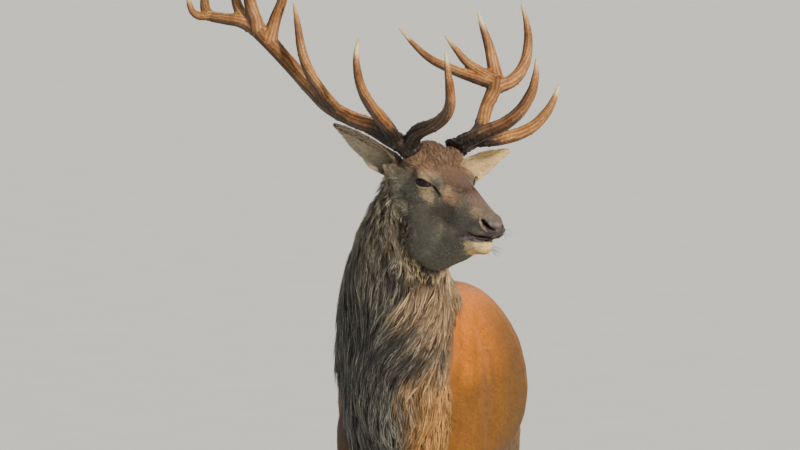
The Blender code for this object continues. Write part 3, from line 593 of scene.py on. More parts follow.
h = to_head(positions(skin))  # the muzzle is shortened and bevelled, and the jaw made deeper
forward, height = h[:, 0].copy(), h[:, 2].copy()
tip = rise(forward, 0.185, 0.228)
h[:, 0] -= (0.011 * rise(forward, 0.14, 0.22)
            + 0.010 * rise(forward, 0.15, 0.21) * rise(-height, 0.104, 0.116))
h[:, 1] *= 1 - 0.10 * tip
h[:, 2] -= 0.010 * tip * rise(height, -0.100, -0.055)
h[:, 2] -= 0.020 * rise(-height, 0.10, 0.18) * within(forward, -0.160, 0.012, 0.040)
move_points(skin, from_head(h))
NOSTRIL, MOUTH, GLAND_SLIT = on_face(NOSTRIL_PLAN), on_face(MOUTH_PLAN), on_face(SLIT_PLAN)
NOSTRIL_RIM_LINE = on_face(RIM_PLAN)
h = mirrored(to_head(positions(skin)))
near_eye = np.linalg.norm(h - np.array(EYE_SEAT), axis=1) < 0.029
near_nose = to_path(h, NOSTRIL)[0] < 0.013
near_mouth = to_path(h, MOUTH)[0] < 0.009
near_slit = to_path(h, GLAND_SLIT)[0] < 0.008
choose_points(skin, near_eye | near_nose | near_mouth | near_slit)
bpy.ops.mesh.subdivide(number_cuts=1)
bpy.ops.object.mode_set(mode="OBJECT")
print("skin:", faces_of(skin), "triangles")


# %% [markdown]
# Now the face is modelled by pushing points, as a sculptor's tools do. A groove is cut along a path, and
# a swell is raised around a place. The eyelids need more care. An eye is a ball in a socket, and its lids
# are skin stretched over the ball, with a rim round an almond-shaped opening.

# %% Modelling the face
EYE_RADIUS = 0.0192
EYE_CENTRE = np.array(EYE_SEAT) - np.array((0.0004, 0.0008, 0.0))
EYE_OUT = unit(np.array((0.47, 0.88, 0.06)))  # the way the left eye looks
EYE_ALONG = np.array((0.85, -0.45, -0.16))
EYE_ALONG = unit(EYE_ALONG - EYE_OUT * (EYE_ALONG @ EYE_OUT))  # from its back corner to its front one
EYE_UP = np.cross(EYE_ALONG, EYE_OUT) * (1 if np.cross(EYE_ALONG, EYE_OUT)[2] > 0 else -1)
OPENING_HALF_LENGTH, UPPER_LID_HEIGHT, LOWER_LID_HEIGHT = 0.0178, 0.0082, 0.0066


def eye_opening(h):
    """0 in the middle of the eye's almond opening, 1 on its rim, and more outside it."""
    offset = mirrored(h) - EYE_CENTRE
    along = np.abs(offset @ EYE_ALONG) / OPENING_HALF_LENGTH
    height = offset @ EYE_UP
    across = np.where(height > 0, height / UPPER_LID_HEIGHT, -height / LOWER_LID_HEIGHT)
    in_front = offset @ EYE_OUT > 0.002
    return np.where(in_front, (along ** 1.7 + across ** 1.7) ** (1 / 1.7), 9.0)


def groove(h, normals, path, reach, depth, fade=0.0):
    """Pushes points in along a path. fade makes it shallower towards the path's end."""
    distance, where = to_path(mirrored(h), path)
    return h - normals * (depth * (1 - fade * where) * (1 - rise(distance, 0, reach)))[:, None]


def swell(h, normals, centre, reach, height):
    distance = np.linalg.norm(mirrored(h) - np.array(centre), axis=1)
    return h + normals * (height * (1 - rise(distance, 0, reach)))[:, None]


def with_lids(h):
    """Lays the skin round the eye over the ball, and opens it between the lids."""
    sides = np.sign(h[:, 1])
    offset = mirrored(h) - EYE_CENTRE
    distance = np.linalg.norm(offset, axis=1)
    opening = eye_opening(h)
    height = offset @ EYE_UP
    lid = EYE_RADIUS + 0.0024 + 0.0016 * rise(opening, 1.1, 1.9) * (height > 0)
    wanted = EYE_RADIUS - 0.005 + (lid - EYE_RADIUS + 0.005) * rise(opening, 0.86, 1.04)
    share = (1 - rise(opening, 1.5, 2.9)) * (distance < 0.05)
    moved = EYE_CENTRE + unit(offset) * (distance + (wanted - distance) * share)[:, None]
    return moved * np.column_stack([np.ones(len(h)), sides, np.ones(len(h))])


def slot(h, path, reach, aim, share):
    """Opens a slot with a firm edge along a path, by drawing its points towards a line inside the head."""
    distance, where = to_path(mirrored(h), path)
    pull = share * (1 - rise(distance, 0.35 * reach, reach)) * (1 - where ** 2)
    inside = np.column_stack([h[:, 0] + aim[0], h[:, 1] * 0.3, np.full(len(h), aim[2])])
    return h + (inside - h) * pull[:, None]


UPPER_CREASE = [EYE_CENTRE + EYE_ALONG * a + EYE_UP * b + EYE_OUT * 0.016 for a, b in (
    (-0.024, 0.003), (-0.016, 0.0125), (0.0, 0.0165), (0.012, 0.0125), (0.020, 0.004))]
LOWER_CREASE = [EYE_CENTRE + EYE_ALONG * a + EYE_UP * b + EYE_OUT * 0.015 for a, b in (
    (-0.020, -0.008), (-0.006, -0.0155), (0.010, -0.0140), (0.022, -0.009))]
CHEEK_FURROW = on_face([(0.113, 0.046, -0.115), (0.098, 0.050, -0.098), (0.078, 0.055, -0.084)])
JAW_LINE = on_face([(-0.02, 0.062, -0.165), (0.04, 0.056, -0.165),
                    (0.10, 0.042, -0.150), (0.15, 0.034, -0.135)])
PHILTRUM = on_face([(0.250, 0.0, -0.070), (0.250, 0.0, -0.084), (0.246, 0.0, -0.098)])

in_head = TURN
h = to_head(positions(skin))
n = directions(skin) @ in_head
unopened = h
h = slot(h, MOUTH, 0.0055, (-0.018, 0, -0.1060), 0.8)
h = h + (unopened - h) * rise(unopened[:, 0], 0.210, 0.230)[:, None]
hollow = np.linalg.norm(h - unopened, axis=1)
h = groove(h, n, CHEEK_FURROW, 0.010, 0.0018, 0.9)
h = groove(h, n, JAW_LINE, 0.020, 0.0022)
h = groove(h, n, PHILTRUM, 0.0035, 0.0016)
h = swell(h, n, (0.203, 0.030, -0.049), 0.012, 0.0022)
h = swell(h, n, (0.206, 0.036, -0.078), 0.011, 0.0018)
unopened = h
h = groove(h, n, NOSTRIL, 0.0120, 0.0160, 0.45)
hollow = np.maximum(hollow, np.linalg.norm(h - unopened, axis=1))
h = groove(h, n, UPPER_CREASE, 0.0045, 0.0022)
h = groove(h, n, LOWER_CREASE, 0.0040, 0.0013)
h = with_lids(h)
GLAND_SLIT = on_face(GLAND_SLIT, mirrored(h), 1)
unopened = h
h = groove(h, n, GLAND_SLIT, 0.0055, 0.0070, 0.3)
hollow = np.maximum(hollow, np.linalg.norm(h - unopened, axis=1))
move_points(skin, from_head(h))
h = mirrored(h)
for least_forward, repeats in ((0.13, 3), (0.195, 8)):
    choose_points(skin, (to_path(h, MOUTH)[0] < 0.012) & (h[:, 0] > least_forward))
    bpy.ops.mesh.vertices_smooth(factor=0.5, repeat=repeats)
    bpy.ops.object.mode_set(mode="OBJECT")
lip_front = np.linalg.norm(mirrored(to_head(positions(skin))) - (0.223, 0, -0.103), axis=1) < 0.019
choose_points(skin, lip_front)
bpy.ops.mesh.vertices_smooth(factor=0.5, repeat=12)
bpy.ops.object.mode_set(mode="OBJECT")
print("eye opening", round(OPENING_HALF_LENGTH * 2000), "mm long")


# %% [markdown]
# On the body only the large muscles show through the coat. There is a shallow furrow behind the shoulder
# blade, one in front of the thigh, and a hollow before the hip.

# %% Furrows of the body
BODY_FURROWS = [  # path (forward, sideways, up from the floor under the withers), reach and depth
    ([(-0.04, 0.09, 1.17), (-0.12, 0.17, 1.05), (-0.13, 0.22, 0.92), (-0.06, 0.20, 0.78)], 0.065, 0.010),
    ([(-0.66, 0.14, 1.08), (-0.60, 0.21, 0.95), (-0.61, 0.21, 0.83), (-0.70, 0.17, 0.73)], 0.070, 0.012),
    ([(-0.86, 0.16, 0.98), (-0.90, 0.17, 0.86), (-0.88, 0.15, 0.74)], 0.050, 0.006),
]
place = positions(skin)
inward = -directions(skin)
for path, reach, depth in BODY_FURROWS:
    distance = to_path(mirrored(place - FLOOR_SPOT), path)[0]
    place = place + inward * (depth * (1 - rise(distance, 0, reach)))[:, None]
move_points(skin, place)
print(len(BODY_FURROWS), "furrows on each side")


# %% [markdown]
# A deer's ear is a leaf of gristle rolled into a cup. Each cross-section is an arc, rolled most near the
# root and almost flat at the tip. A grid of those arcs makes the leaf, Solidify gives it its wall, and one
# level of subdivision rounds its edge. The roots end inside the head, under the coat.

# %% The ears
EAR_SHARES = (0, 0.125, 0.25, 0.375, 0.5, 0.625, 0.75, 0.875, 0.96, 1.0)
EAR_HALF_WIDTHS = (0.028, 0.036, 0.0415, 0.0405, 0.0365, 0.031, 0.023, 0.014, 0.0065, 0.003)
EAR_BENDS = (2.3, 1.75, 1.25, 0.98, 0.80, 0.65, 0.50, 0.35, 0.24, 0.2)
EAR_ROWS, EAR_COLUMNS = 24, 14
EAR_WALL = 0.0046


def ear_axes(side):
    root, tip, facing = (np.array(v, float) for v in EARS[side])
    along = unit(tip - root)
    facing = unit(facing - along * (facing @ along))
    return root, tip, along, facing, np.cross(along, facing)


def ear(side):
    root, tip, _, facing, across = ear_axes(side)
    points, faces = [], []
    for row in range(EAR_ROWS + 1):
        share = row / EAR_ROWS
        half = np.interp(share, EAR_SHARES, EAR_HALF_WIDTHS)
        bend = np.interp(share, EAR_SHARES, EAR_BENDS)
        radius = half / sin(min(bend, pi / 2))
        centre = root + (tip - root) * share - facing * 0.010 * sin(pi * share)
        for column in range(EAR_COLUMNS + 1):
            angle = bend * (2 * column / EAR_COLUMNS - 1)
            fold = 0.0016 * sin(9 * share + 5 * angle) * sin(pi * share)
            rolled = across * sin(angle) * radius - facing * ((cos(angle) - cos(bend)) * radius - fold)
            points.append(centre + rolled)
    width = EAR_COLUMNS + 1
    for row in range(EAR_ROWS):
        for column in range(EAR_COLUMNS):
            first = row * width + column
            faces.append((first, first + 1, first + width + 1, first + width))
    made = new_object("ear_" + side, from_head(points), faces)
    apply_modifier(made, "SOLIDIFY", thickness=EAR_WALL, offset=0)
    apply_modifier(made, "SUBSURF", levels=1, render_levels=1)
    choose_all(made)
    bpy.ops.mesh.normals_make_consistent(inside=False)
    bpy.ops.object.mode_set(mode="OBJECT")
    return made


leaves = [ear("left"), ear("right")]
SKULL_POINTS = len(skin.data.vertices)
choose([skin] + leaves)
bpy.ops.object.join()
skin.data.materials.clear()
skin.data.shade_smooth()
print("skin with its ears:", faces_of(skin), "triangles")


# %% [markdown]
# A stag's markings are soft-edged, so they are painted in layers, as with an airbrush. Each layer is one
# colour and the share of it at each place; a few layers are painted shade and painted highlight, not
# markings.
# The same painter serves the skin and the coat, so the two always carry the same markings. It also gives the
# hair tips their own lighter tone.

# %% Colours of the coat
RUFOUS = (0.93, 0.265, 0.008)
SADDLE = (0.30, 0.115, 0.030)
LOW_FLANK = (0.175, 0.088, 0.014)
HAUNCH_AND_SHADE = (0.46, 0.220, 0.085)
BELLY = (0.15, 0.100, 0.060)
RUMP_PATCH = (0.60, 0.45, 0.27)
TAIL = (0.40, 0.24, 0.12)
LEG = (0.21, 0.14, 0.09)
SHIN = (0.115, 0.082, 0.056)
CHEST = (0.50, 0.245, 0.080)
MANE_DARK = (0.047, 0.044, 0.040)
MANE_TAN = (0.225, 0.148, 0.090)
NAPE = (0.33, 0.285, 0.215)
GREY_ENDS = (0.37, 0.36, 0.31)
CREAM_ENDS = (1.0, 0.72, 0.41)
CHEST_ENDS = (1.0, 0.56, 0.20)
UPPER_NECK = (0.155, 0.130, 0.096)
UPPER_ENDS = (0.56, 0.48, 0.35)
SHOULDER_SHADE = (0.060, 0.038, 0.026)
CHEEK = (0.145, 0.135, 0.105)
BROW_RED = (0.225, 0.138, 0.085)
BRIDGE = (0.175, 0.112, 0.080)
EYE_TAN = (0.46, 0.34, 0.20)
MUZZLE = (0.160, 0.140, 0.113)
NOSE = (0.052, 0.040, 0.038)
NOSE_TOP_HIGHLIGHT = (0.20, 0.155, 0.140)
CHIN = (0.90, 0.68, 0.32)
CHIN_RUST = (0.66, 0.27, 0.07)
LOWER_LIP = (0.30, 0.215, 0.225)
LIP = (0.036, 0.024, 0.027)
NOSTRIL_RIM = (0.46, 0.25, 0.18)
DARK = (0.006, 0.004, 0.004)
EAR_BACK = (0.150, 0.105, 0.068)
EAR_EDGE_AND_CUP_SHADE = (0.030, 0.022, 0.017)
SHADED_EAR_SKIN = (0.36, 0.265, 0.185)
SHADED_NEAR_LINING = (0.52, 0.45, 0.30)
SUNLIT_FAR_LINING = (1.0, 0.70, 0.31)
EAR_ROOT = (0.30, 0.18, 0.095)
FACE_SPOTS = [  # colour, place (forward, sideways, up), reach and strength of each soft marking
    ((0.19, 0.17, 0.130), (-0.021, 0.068, -0.055), 0.038, 0.8),
    ((0.12, 0.12, 0.097), (0.030, 0.050, -0.150), 0.055, 0.8),
    # The next two dark spots, on the side of the muzzle, are its dark hair deepened with painted shade.
    ((0.058, 0.050, 0.040), (0.081, 0.043, -0.062), 0.036, 0.9),
    ((0.058, 0.050, 0.040), (0.048, 0.052, -0.070), 0.034, 0.8),
    ((0.52, 0.34, 0.18), (0.063, 0.044, -0.014), 0.020, 1.0),
    ((0.46, 0.29, 0.16), (0.084, 0.042, -0.026), 0.016, 0.9),
    ((0.33, 0.22, 0.14), (0.105, 0.034, -0.034), 0.018, 0.7),
    ((0.060, 0.036, 0.028), (0.100, 0.012, -0.004), 0.016, 0.8),
    ((0.085, 0.052, 0.040), (0.076, 0.026, 0.006), 0.014, 0.6),
    ((0.25, 0.165, 0.125), (0.150, 0.008, -0.024), 0.030, 0.8),
    ((0.42, 0.30, 0.19), (0.168, 0.032, -0.047), 0.020, 0.9),
    ((0.28, 0.185, 0.14), (0.200, 0.012, -0.045), 0.018, 0.8),
    ((0.56, 0.42, 0.25), (0.000, 0.072, -0.018), 0.022, 0.9),
    ((0.56, 0.42, 0.25), (0.018, 0.061, -0.033), 0.018, 0.9),
    ((0.54, 0.39, 0.22), (-0.010, 0.072, 0.026), 0.020, 0.8),
    ((0.48, 0.33, 0.20), (0.014, 0.056, 0.024), 0.018, 0.8),
    ((0.13, 0.120, 0.095), (0.150, 0.036, -0.085), 0.028, 0.7),
    ((0.10, 0.066, 0.048), (-0.038, 0.074, 0.012), 0.018, 0.7),
    ((0.32, 0.17, 0.09), (-0.013, 0.051, 0.040), 0.022, 0.6),
]


def wobble(points, size):
    """A smooth random-looking value from -1 to 1 that changes over about size metres."""
    p = points * (2 * pi / size)
    first = np.sin(p[:, 0] + 1.7 * np.sin(0.61 * p[:, 1] + 1.3))
    second = np.sin(0.83 * p[:, 1] + 1.9 * np.sin(0.53 * p[:, 2] + 0.4))
    third = np.sin(0.91 * p[:, 2] + 1.6 * np.sin(0.67 * p[:, 0] + 2.1))
    return (first + second + third) / 3


def ear_share(points):
    """How much each point belongs to an ear, that ear's open side, and the point's place on its leaf."""
    h = to_head(points)
    best, inwards, along_ear = np.zeros(len(h)), np.zeros((len(h), 3)), np.zeros(len(h))
    low_margin = np.zeros(len(h))
    for side in EARS:
        root, tip, along, facing, across = ear_axes(side)
        share = (h - root) @ along / np.linalg.norm(tip - root)
        lower = -np.sign(across[2]) * ((h - root) @ across)
        aside = np.linalg.norm(h - root - np.clip(share, 0, 1)[:, None] * (tip - root), axis=1)
        here = rise(share, 0.04, 0.16) * (1 - rise(aside, 0.046, 0.058))
        inwards = np.where((here > best)[:, None], facing, inwards)
        along_ear = np.where(here > best, share, along_ear)
        low_margin = np.where(here > best, lower, low_margin)
        best = np.maximum(best, here)
    return best, inwards, along_ear, low_margin


def behind_neck(s):
    """How far a place is round the back of the neck. s is measured from under the withers."""
    return rise(-(s[:, 0] - 0.10) * 0.86 + (s[:, 2] - 1.15) * 0.5, 0.02, 0.12)


def throat_sweep(s):
    """How far the mane is swept across the throat, towards the stag's right."""
    swept = (0.35 + 0.75 * within(s[:, 2], 1.00, 1.15, 0.05)) * within(s[:, 2], 0.96, 1.34, 0.05)
    return swept * rise(s[:, 1], -0.10, 0.04)


def painted(points, facing):
    """The coat's colour at each point, the colour of its hair tips there, and how bare the skin is."""
    share = regions(points)
    s = points - FLOOR_SPOT
    h = mirrored(to_head(points))
    grain = wobble(points, 0.11)
    paint = np.tile(np.array(RUFOUS), (len(points), 1))
    bare = np.zeros(len(points))

    def layer(colour, amount, bareness=None):
        nonlocal paint, bare
        amount = np.clip(amount, 0, 1)
        paint = paint + (np.array(colour) - paint) * amount[:, None]
        if bareness is not None:
            bare = bare + (bareness - bare) * amount

    layer(LOW_FLANK, rise(-s[:, 0] + 0.04 * grain, 0.05, 0.35) * rise(s[:, 1], 0.10, 0.21) * 0.80)
    layer(LOW_FLANK, 0.85 * (1 - rise(s[:, 2] + 0.03 * grain, 0.88, 1.14)))
    layer(SADDLE, rise(s[:, 2] - 1.35 * np.abs(s[:, 1]) + 0.02 * grain, 1.02, 1.14) * 0.8)
    hindwards = rise(-s[:, 0] + 0.05 * grain, 0.35, 0.80)
    # The stag's right side, turned from the key lamp, takes the duller haunch colour as painted shade;
    # behind the flank it is the haunch's own colour.
    shaded_side = rise(-s[:, 1] + 0.02 * grain, 0.02, 0.14)
    layer(HAUNCH_AND_SHADE, np.maximum(hindwards, shaded_side) * 0.75)
    layer(BELLY, 1 - rise(s[:, 2] + 0.02 * grain, 0.66, 0.76))
    above_patch = s[:, 2] - 0.93 + 0.03 * np.abs(s[:, 1]) / 0.1
    from_tail = np.hypot(s[:, 1] / 0.105, above_patch / 0.145) + 0.10 * grain
    layer(SADDLE, (1 - rise(from_tail, 1.0, 1.5)) * rise(-s[:, 0], 0.86, 0.95) * 0.7)
    layer(RUMP_PATCH, (1 - rise(from_tail, 0.75, 1.05)) * rise(-s[:, 0], 0.90, 0.96))
    layer(LEG, share["legs"])
    shin_front = rise(facing[:, 0], 0.0, 0.7) * (1 - rise(s[:, 2], 0.45, 0.70))
    layer(SHIN, share["legs"] * np.maximum(shin_front, 1 - rise(s[:, 2], 0.06, 0.14)) * 0.85)
    # The front of the stag's right shoulder, on the shadow side, is painted near black-brown: painted shade.
    in_front = rise(s[:, 0] + 0.05 * grain + 0.3 * (1.0 - s[:, 2]), -0.42, 0.05)
    right_shoulder_shade = rise(-s[:, 1], 0.05, 0.10) * in_front
    layer(SHOULDER_SHADE, right_shoulder_shade * (1 - share["head"]) * 0.85)
    layer(TAIL, share["tail"] * 0.6)
    layer(RUMP_PATCH, share["tail"] * rise(facing[:, 0], 0, 0.5))

    mane = rise(share["mane"], 0.05, 0.55)
    neck = np.maximum(mane, share["head"])
    heights = (0.87, 0.96, 1.02, 1.06, 1.11, 1.18, 1.28, 1.40)
    places = (0.014, 0.036, 0.078, 0.108, 0.096, 0.056, 0.012, 0)
    tan_border = np.interp(s[:, 2], heights, places)
    to_tan = rise(s[:, 1] - tan_border + 0.02 * grain, -0.028, 0.042) * (1 - 0.6 * rise(s[:, 2], 1.26, 1.38))
    behind = behind_neck(s)
    layer(MANE_DARK, neck)
    layer(MANE_TAN, neck * to_tan * rise(s[:, 0], 0.12, 0.22))
    layer(CHEST, neck * rise(s[:, 1] + 0.02 * grain, 0.015, 0.070) * (1 - rise(s[:, 2], 0.94, 1.06)) * 0.85)
    layer(NAPE, neck * behind)
    layer(UPPER_NECK, neck * (1 - behind) * rise(s[:, 2] + 0.02 * grain, 1.22, 1.34) * 0.9)

    head = share["head"]
    f, side, u = h.T
    to_eye = np.linalg.norm(h - EYE_CENTRE, axis=1)
    mottle = 0.5 * wobble(h, 0.026) + 0.5 * wobble(h * (0.7, 1, 1.3), 0.011)
    layer(CHEEK, head)
    layer(BRIDGE, head * rise(u + 0.26 * f + 0.004 * grain, 0.000, 0.026) * (1 - rise(side, 0.030, 0.055)))
    layer(BROW_RED, head * rise(u + 0.5 * np.minimum(0, 0.03 - f) + 0.006 * mottle, 0.012, 0.034) * 0.9)
    round_eye = 1 - rise(to_eye + 0.004 * mottle, 0.024, 0.036)
    layer(EYE_TAN, head * round_eye * rise(f + 0.3 * (0.01 - u), -0.022, 0.006) * 0.6)
    layer(MUZZLE, head * rise(f, 0.10, 0.14) * (1 - rise(u + 0.26 * f, -0.026, -0.004)))
    for colour, spot, reach, strength in FACE_SPOTS:
        away = np.linalg.norm(h - spot, axis=1) + 0.45 * reach * mottle
        layer(colour, head * strength * (1 - rise(away, 0.2 * reach, 1.35 * reach)))
    from_mouth, along_mouth = to_path(h, MOUTH)
    facing_up = (facing @ TURN)[:, 2]
    under_lip = -u - 0.105 - 0.10 * (0.19 - f)
    layer(CHIN, head * rise(f + 0.006 * grain, 0.120, 0.146) * rise(under_lip, 0.010, 0.016))
    layer(CHIN_RUST, head * rise(f, 0.13, 0.17) * rise(-u + 0.004 * mottle, 0.134, 0.148) * 0.8)
    lip_band = rise(under_lip, 0.0, 0.003) * (1 - rise(under_lip, 0.009, 0.013))
    layer(LOWER_LIP, head * rise(f, 0.105, 0.13) * lip_band, 0.7)
    pad_front = f - 0.55 * side - 0.9 * np.maximum(u + 0.062, 0)
    on_pad = rise(pad_front, 0.196, 0.204) * (1 - rise(-u, 0.092, 0.098))
    layer(NOSE, head * np.maximum(on_pad, rise(f, 0.204, 0.212) * rise(u, -0.112, -0.108)), 1.0)
    # A lighter band over the top of the nose pad is a painted highlight on its wet skin.
    layer(NOSE_TOP_HIGHLIGHT, head * on_pad * within(u + 0.004 * mottle, -0.074, -0.062, 0.004) * 0.55, 1.0)
    layer(NOSTRIL_RIM, head * (1 - rise(to_path(h, NOSTRIL_RIM_LINE)[0], 0.0012, 0.0036)) * 0.8, 0.6)
    below_seam = rise(under_lip, 0.0005, 0.0030) * rise(f, 0.12, 0.15)
    lip_edge = from_mouth + 0.006 * rise(along_mouth, 0.7, 1.0)
    layer(LIP, head * (1 - rise(lip_edge, 0.0046, 0.0070)) * (1 - below_seam), 1.0)
    lip_under = rise(f, 0.12, 0.14) * within(u, -0.116, -0.096, 0.002)
    layer(LIP, head * lip_under * rise(-facing_up, 0.3, 0.5), 1.0)
    opening = eye_opening(h)
    lidded = (to_eye < 0.035) * head
    layer(DARK, lidded * (1 - rise(opening, 1.28, 1.55)), 1.0)
    layer(DARK, head * (1 - rise(to_path(h, GLAND_SLIT)[0], 0.0030, 0.0058)), 0.9)

    ear, open_side, along_ear, low_margin = ear_share(points)
    inside = rise(np.sum((facing @ TURN) * open_side, axis=1), -0.05, 0.25)
    layer(EAR_BACK, ear)
    layer(BROW_RED, ear * (1 - rise(along_ear, 0.10, 0.40)) * (1 - inside) * 0.6)
    # The same lining is painted on both ears: greyer on the near ear, as painted shade, and brighter and
    # warmer on the far ear, as painted sunlight.
    leftwards = to_head(points)[:, 1] > 0
    layer(SHADED_EAR_SKIN, ear * inside * ~leftwards)
    layer(SHADED_NEAR_LINING, ear * inside * ~leftwards * rise(low_margin, 0.004, 0.009))
    # A dark band along the middle of the near ear's open side is painted shade in the fold of its cup; the
    # dark ear tips below are the ears' own edging.
    cup_shade = within(low_margin, 0.000, 0.005, 0.0015) * rise(along_ear, 0.35, 0.5)
    layer(EAR_EDGE_AND_CUP_SHADE, ear * inside * ~leftwards * cup_shade * 0.8)
    layer(SHADED_NEAR_LINING, ear * inside * ~leftwards * (1 - rise(along_ear, 0.10, 0.24)) * 0.7)
    layer(SUNLIT_FAR_LINING, ear * inside * leftwards)
    layer(EAR_ROOT, ear * inside * leftwards * (1 - rise(along_ear + 6 * low_margin, 0.05, 0.20)) * 0.9)
    layer(EAR_EDGE_AND_CUP_SHADE, ear * rise(along_ear, 0.90, 1.0) * np.where(leftwards, 0.3, 1.0))

    low = 1 - rise(s[:, 2], 0.95, 1.03)
    warm = np.array(CREAM_ENDS) + (np.array(CHEST_ENDS) - np.array(CREAM_ENDS)) * low[:, None]
    ends = np.array(GREY_ENDS) + (warm - np.array(GREY_ENDS)) * to_tan[:, None]
    ends = ends + (np.array(UPPER_ENDS) - ends) * (rise(s[:, 2], 1.30, 1.40) * 0.8)[:, None]
    tips = paint * (1.15 + 0.10 * head)[:, None]
    tips = tips + (ends - tips) * mane[:, None]
    finer = 0.06 * wobble(points, 0.023) + 0.14 * head * wobble(points * (1, 1, 1.6), 0.0125)
    paint = paint * (1 + 0.10 * grain + finer)[:, None]
    return np.clip(paint, 0, 1), np.clip(tips, 0, 1), bare


# %% [markdown]
# Hair has a lie: it grows over the body in streams, as grass does in the wind. On a stag it runs back and
# down along the flanks, straight down the legs, and down and across the throat in the mane. On the face it
# runs back from the nose. The lie is given as one direction for every place.

# %% The lie of the coat
def lie(points):
    share = regions(points)
    s = points - FLOOR_SPOT
    h = to_head(points)
    zero = np.zeros(len(points))
    down_rump = rise(-s[:, 0], 0.75, 1.00)
    body = np.column_stack([-0.95 + 0.5 * down_rump, zero, -0.34 - 0.6 * down_rump])
    legs = np.column_stack([zero - 0.10, zero, zero - 1])
    behind = behind_neck(s)
    sweep = throat_sweep(s)
    mane = np.column_stack([-0.10 - 0.55 * behind, -sweep, zero - 1])
    tail = np.column_stack([zero - 0.05, zero, zero - 1])
    on_cheek = rise(-h[:, 2], 0.04, 0.15) * (1 - rise(h[:, 0], 0.10, 0.16))
    on_brow = rise(h[:, 2], -0.005, 0.03) * (1 - rise(h[:, 0], 0.02, 0.07))
    head = np.column_stack([zero - 1, 0.25 * np.sign(h[:, 1]), -0.65 * on_cheek + 0.75 * on_brow - 0.05])
    head = head @ TURN.T
    whole = (body * share["body"][:, None] + legs * share["legs"][:, None] + mane * share["mane"][:, None]
             + tail * share["tail"][:, None] + head * share["head"][:, None])
    ear = ear_share(points)[0]
    leftwards = to_head(points)[:, 1] > 0
    for side, mask in (("left", leftwards), ("right", ~leftwards)):
        _, _, along, _, _ = ear_axes(side)
        along = TURN @ along
        strength = (ear * mask)[:, None]
        whole = whole * (1 - strength) + along * strength
    return unit(whole)


# %% [markdown]
# The unwrap of the skin lays its surface flat without stretching it much. Every lock will later take its
# own small patch of that map, at the place of its root. The painter's colours and the lie go on the skin
# as attributes, which its material reads.

# %% Unwrap and paint the skin
choose_all(skin)
bpy.ops.mesh.select_all(action="SELECT")
bpy.ops.mesh.quads_convert_to_tris()
bpy.ops.uv.smart_project(angle_limit=radians(66), island_margin=0.001)
bpy.ops.object.mode_set(mode="OBJECT")
skin.data.uv_layers[0].name = "OFBake"


def set_colours(mesh, colours):
    layer = mesh.color_attributes.new("coat", "BYTE_COLOR", "POINT")
    layer.data.foreach_set("color", colours.astype(np.float32).ravel())


place, facing = positions(skin), directions(skin)
paint, _, bare = painted(place, facing)
# The hollows of the mouth, nostrils and gland slits are painted near black as painted shade for their depth,
# less where the lip's top faces up.
shaded_openings = np.zeros(len(place))
shaded_openings[:SKULL_POINTS] = rise(hollow, 0.0030, 0.0058)
on_lip_top = rise((facing @ TURN)[:, 2], 0.2, 0.6) * rise(-to_head(place)[:, 2], 0.100, 0.106)
shaded_openings *= 1 - 0.8 * on_lip_top
paint = paint + (np.array(DARK) - paint) * shaded_openings[:, None]
bare = np.maximum(bare, shaded_openings)
set_colours(skin.data, np.column_stack([paint * (1 - 0.12 * (1 - bare[:, None])), bare]))
streams = skin.data.attributes.new("lie", "FLOAT_VECTOR", "POINT")
streams.data.foreach_set("vector", lie(place).astype(np.float32).ravel())
print("painted", len(place), "points, of them bare:", int((bare > 0.5).sum()))


# %% [markdown]
# Under the locks the skin itself looks like very short fur. Its fineness is bump: a noise that is stretched
# along the lie. To stretch it, the part of each place that runs along the lie is mostly taken away before
# the noise reads it. Bare skin, as on the nose and lips, is smoother, darker and damp.

# %% The skin's finish
def fur_points(tree):
    """Object coordinates squeezed along the lie, so that a noise on them makes streaks."""
    place = object_points(tree)
    stream = node(tree, "ShaderNodeAttribute", attribute_name="lie").outputs["Vector"]
    along = node(tree, "ShaderNodeVectorMath", operation="DOT_PRODUCT")
    tree.links.new(place, along.inputs[0])
    tree.links.new(stream, along.inputs[1])
    shorter = node(tree, "ShaderNodeMath", operation="MULTIPLY")
    shorter.inputs[1].default_value = 0.86
    tree.links.new(along.outputs["Value"], shorter.inputs[0])
    offset = node(tree, "ShaderNodeVectorMath", operation="SCALE")
    tree.links.new(stream, offset.inputs[0])
    tree.links.new(shorter.outputs[0], offset.inputs["Scale"])
    rest = node(tree, "ShaderNodeVectorMath", operation="SUBTRACT")
    tree.links.new(place, rest.inputs[0])
    tree.links.new(offset.outputs[0], rest.inputs[1])
    return rest.outputs[0]


skin_finish, tree, shader = new_material("skin_and_short_fur")
attribute = node(tree, "ShaderNodeAttribute", attribute_name="coat")
colour, bareness = attribute.outputs["Color"], attribute.outputs["Alpha"]
hairs = noise(tree, fur_points(tree), 420, 4.0, 0.65)
wisps = noise(tree, fur_points(tree), 110, 3.0, 0.6)
pebbles = node(tree, "ShaderNodeTexVoronoi", Scale=520.0)
tree.links.new(object_points(tree), pebbles.inputs["Vector"])
shade = mixed(tree, spread(tree, hairs, 0.32, 0.68), (0.58, 0.54, 0.51), (1.0, 1.0, 1.0))
wispy = mixed(tree, spread(tree, wisps, 0.35, 0.65), (0.74, 0.73, 0.72), (1.0, 1.0, 1.0))
furred = mixed(tree, 1.0, mixed(tree, 1.0, colour, shade, "MULTIPLY"), wispy, "MULTIPLY")
tree.links.new(mixed(tree, bareness, furred, colour), shader.inputs["Base Color"])
tree.links.new(spread(tree, bareness, 0, 1, 0.72, 0.33), shader.inputs["Roughness"])
relief = node(tree, "ShaderNodeMix", data_type="FLOAT")
tree.links.new(bareness, relief.inputs[0])
tree.links.new(hairs, relief.inputs[2])
tree.links.new(pebbles.outputs["Distance"], relief.inputs[3])
bump(tree, shader, relief.outputs[0], 0.0010, 0.6)
shader.inputs["Specular IOR Level"].default_value = 0.25
skin.data.materials.append(skin_finish)
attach(skin, "root")
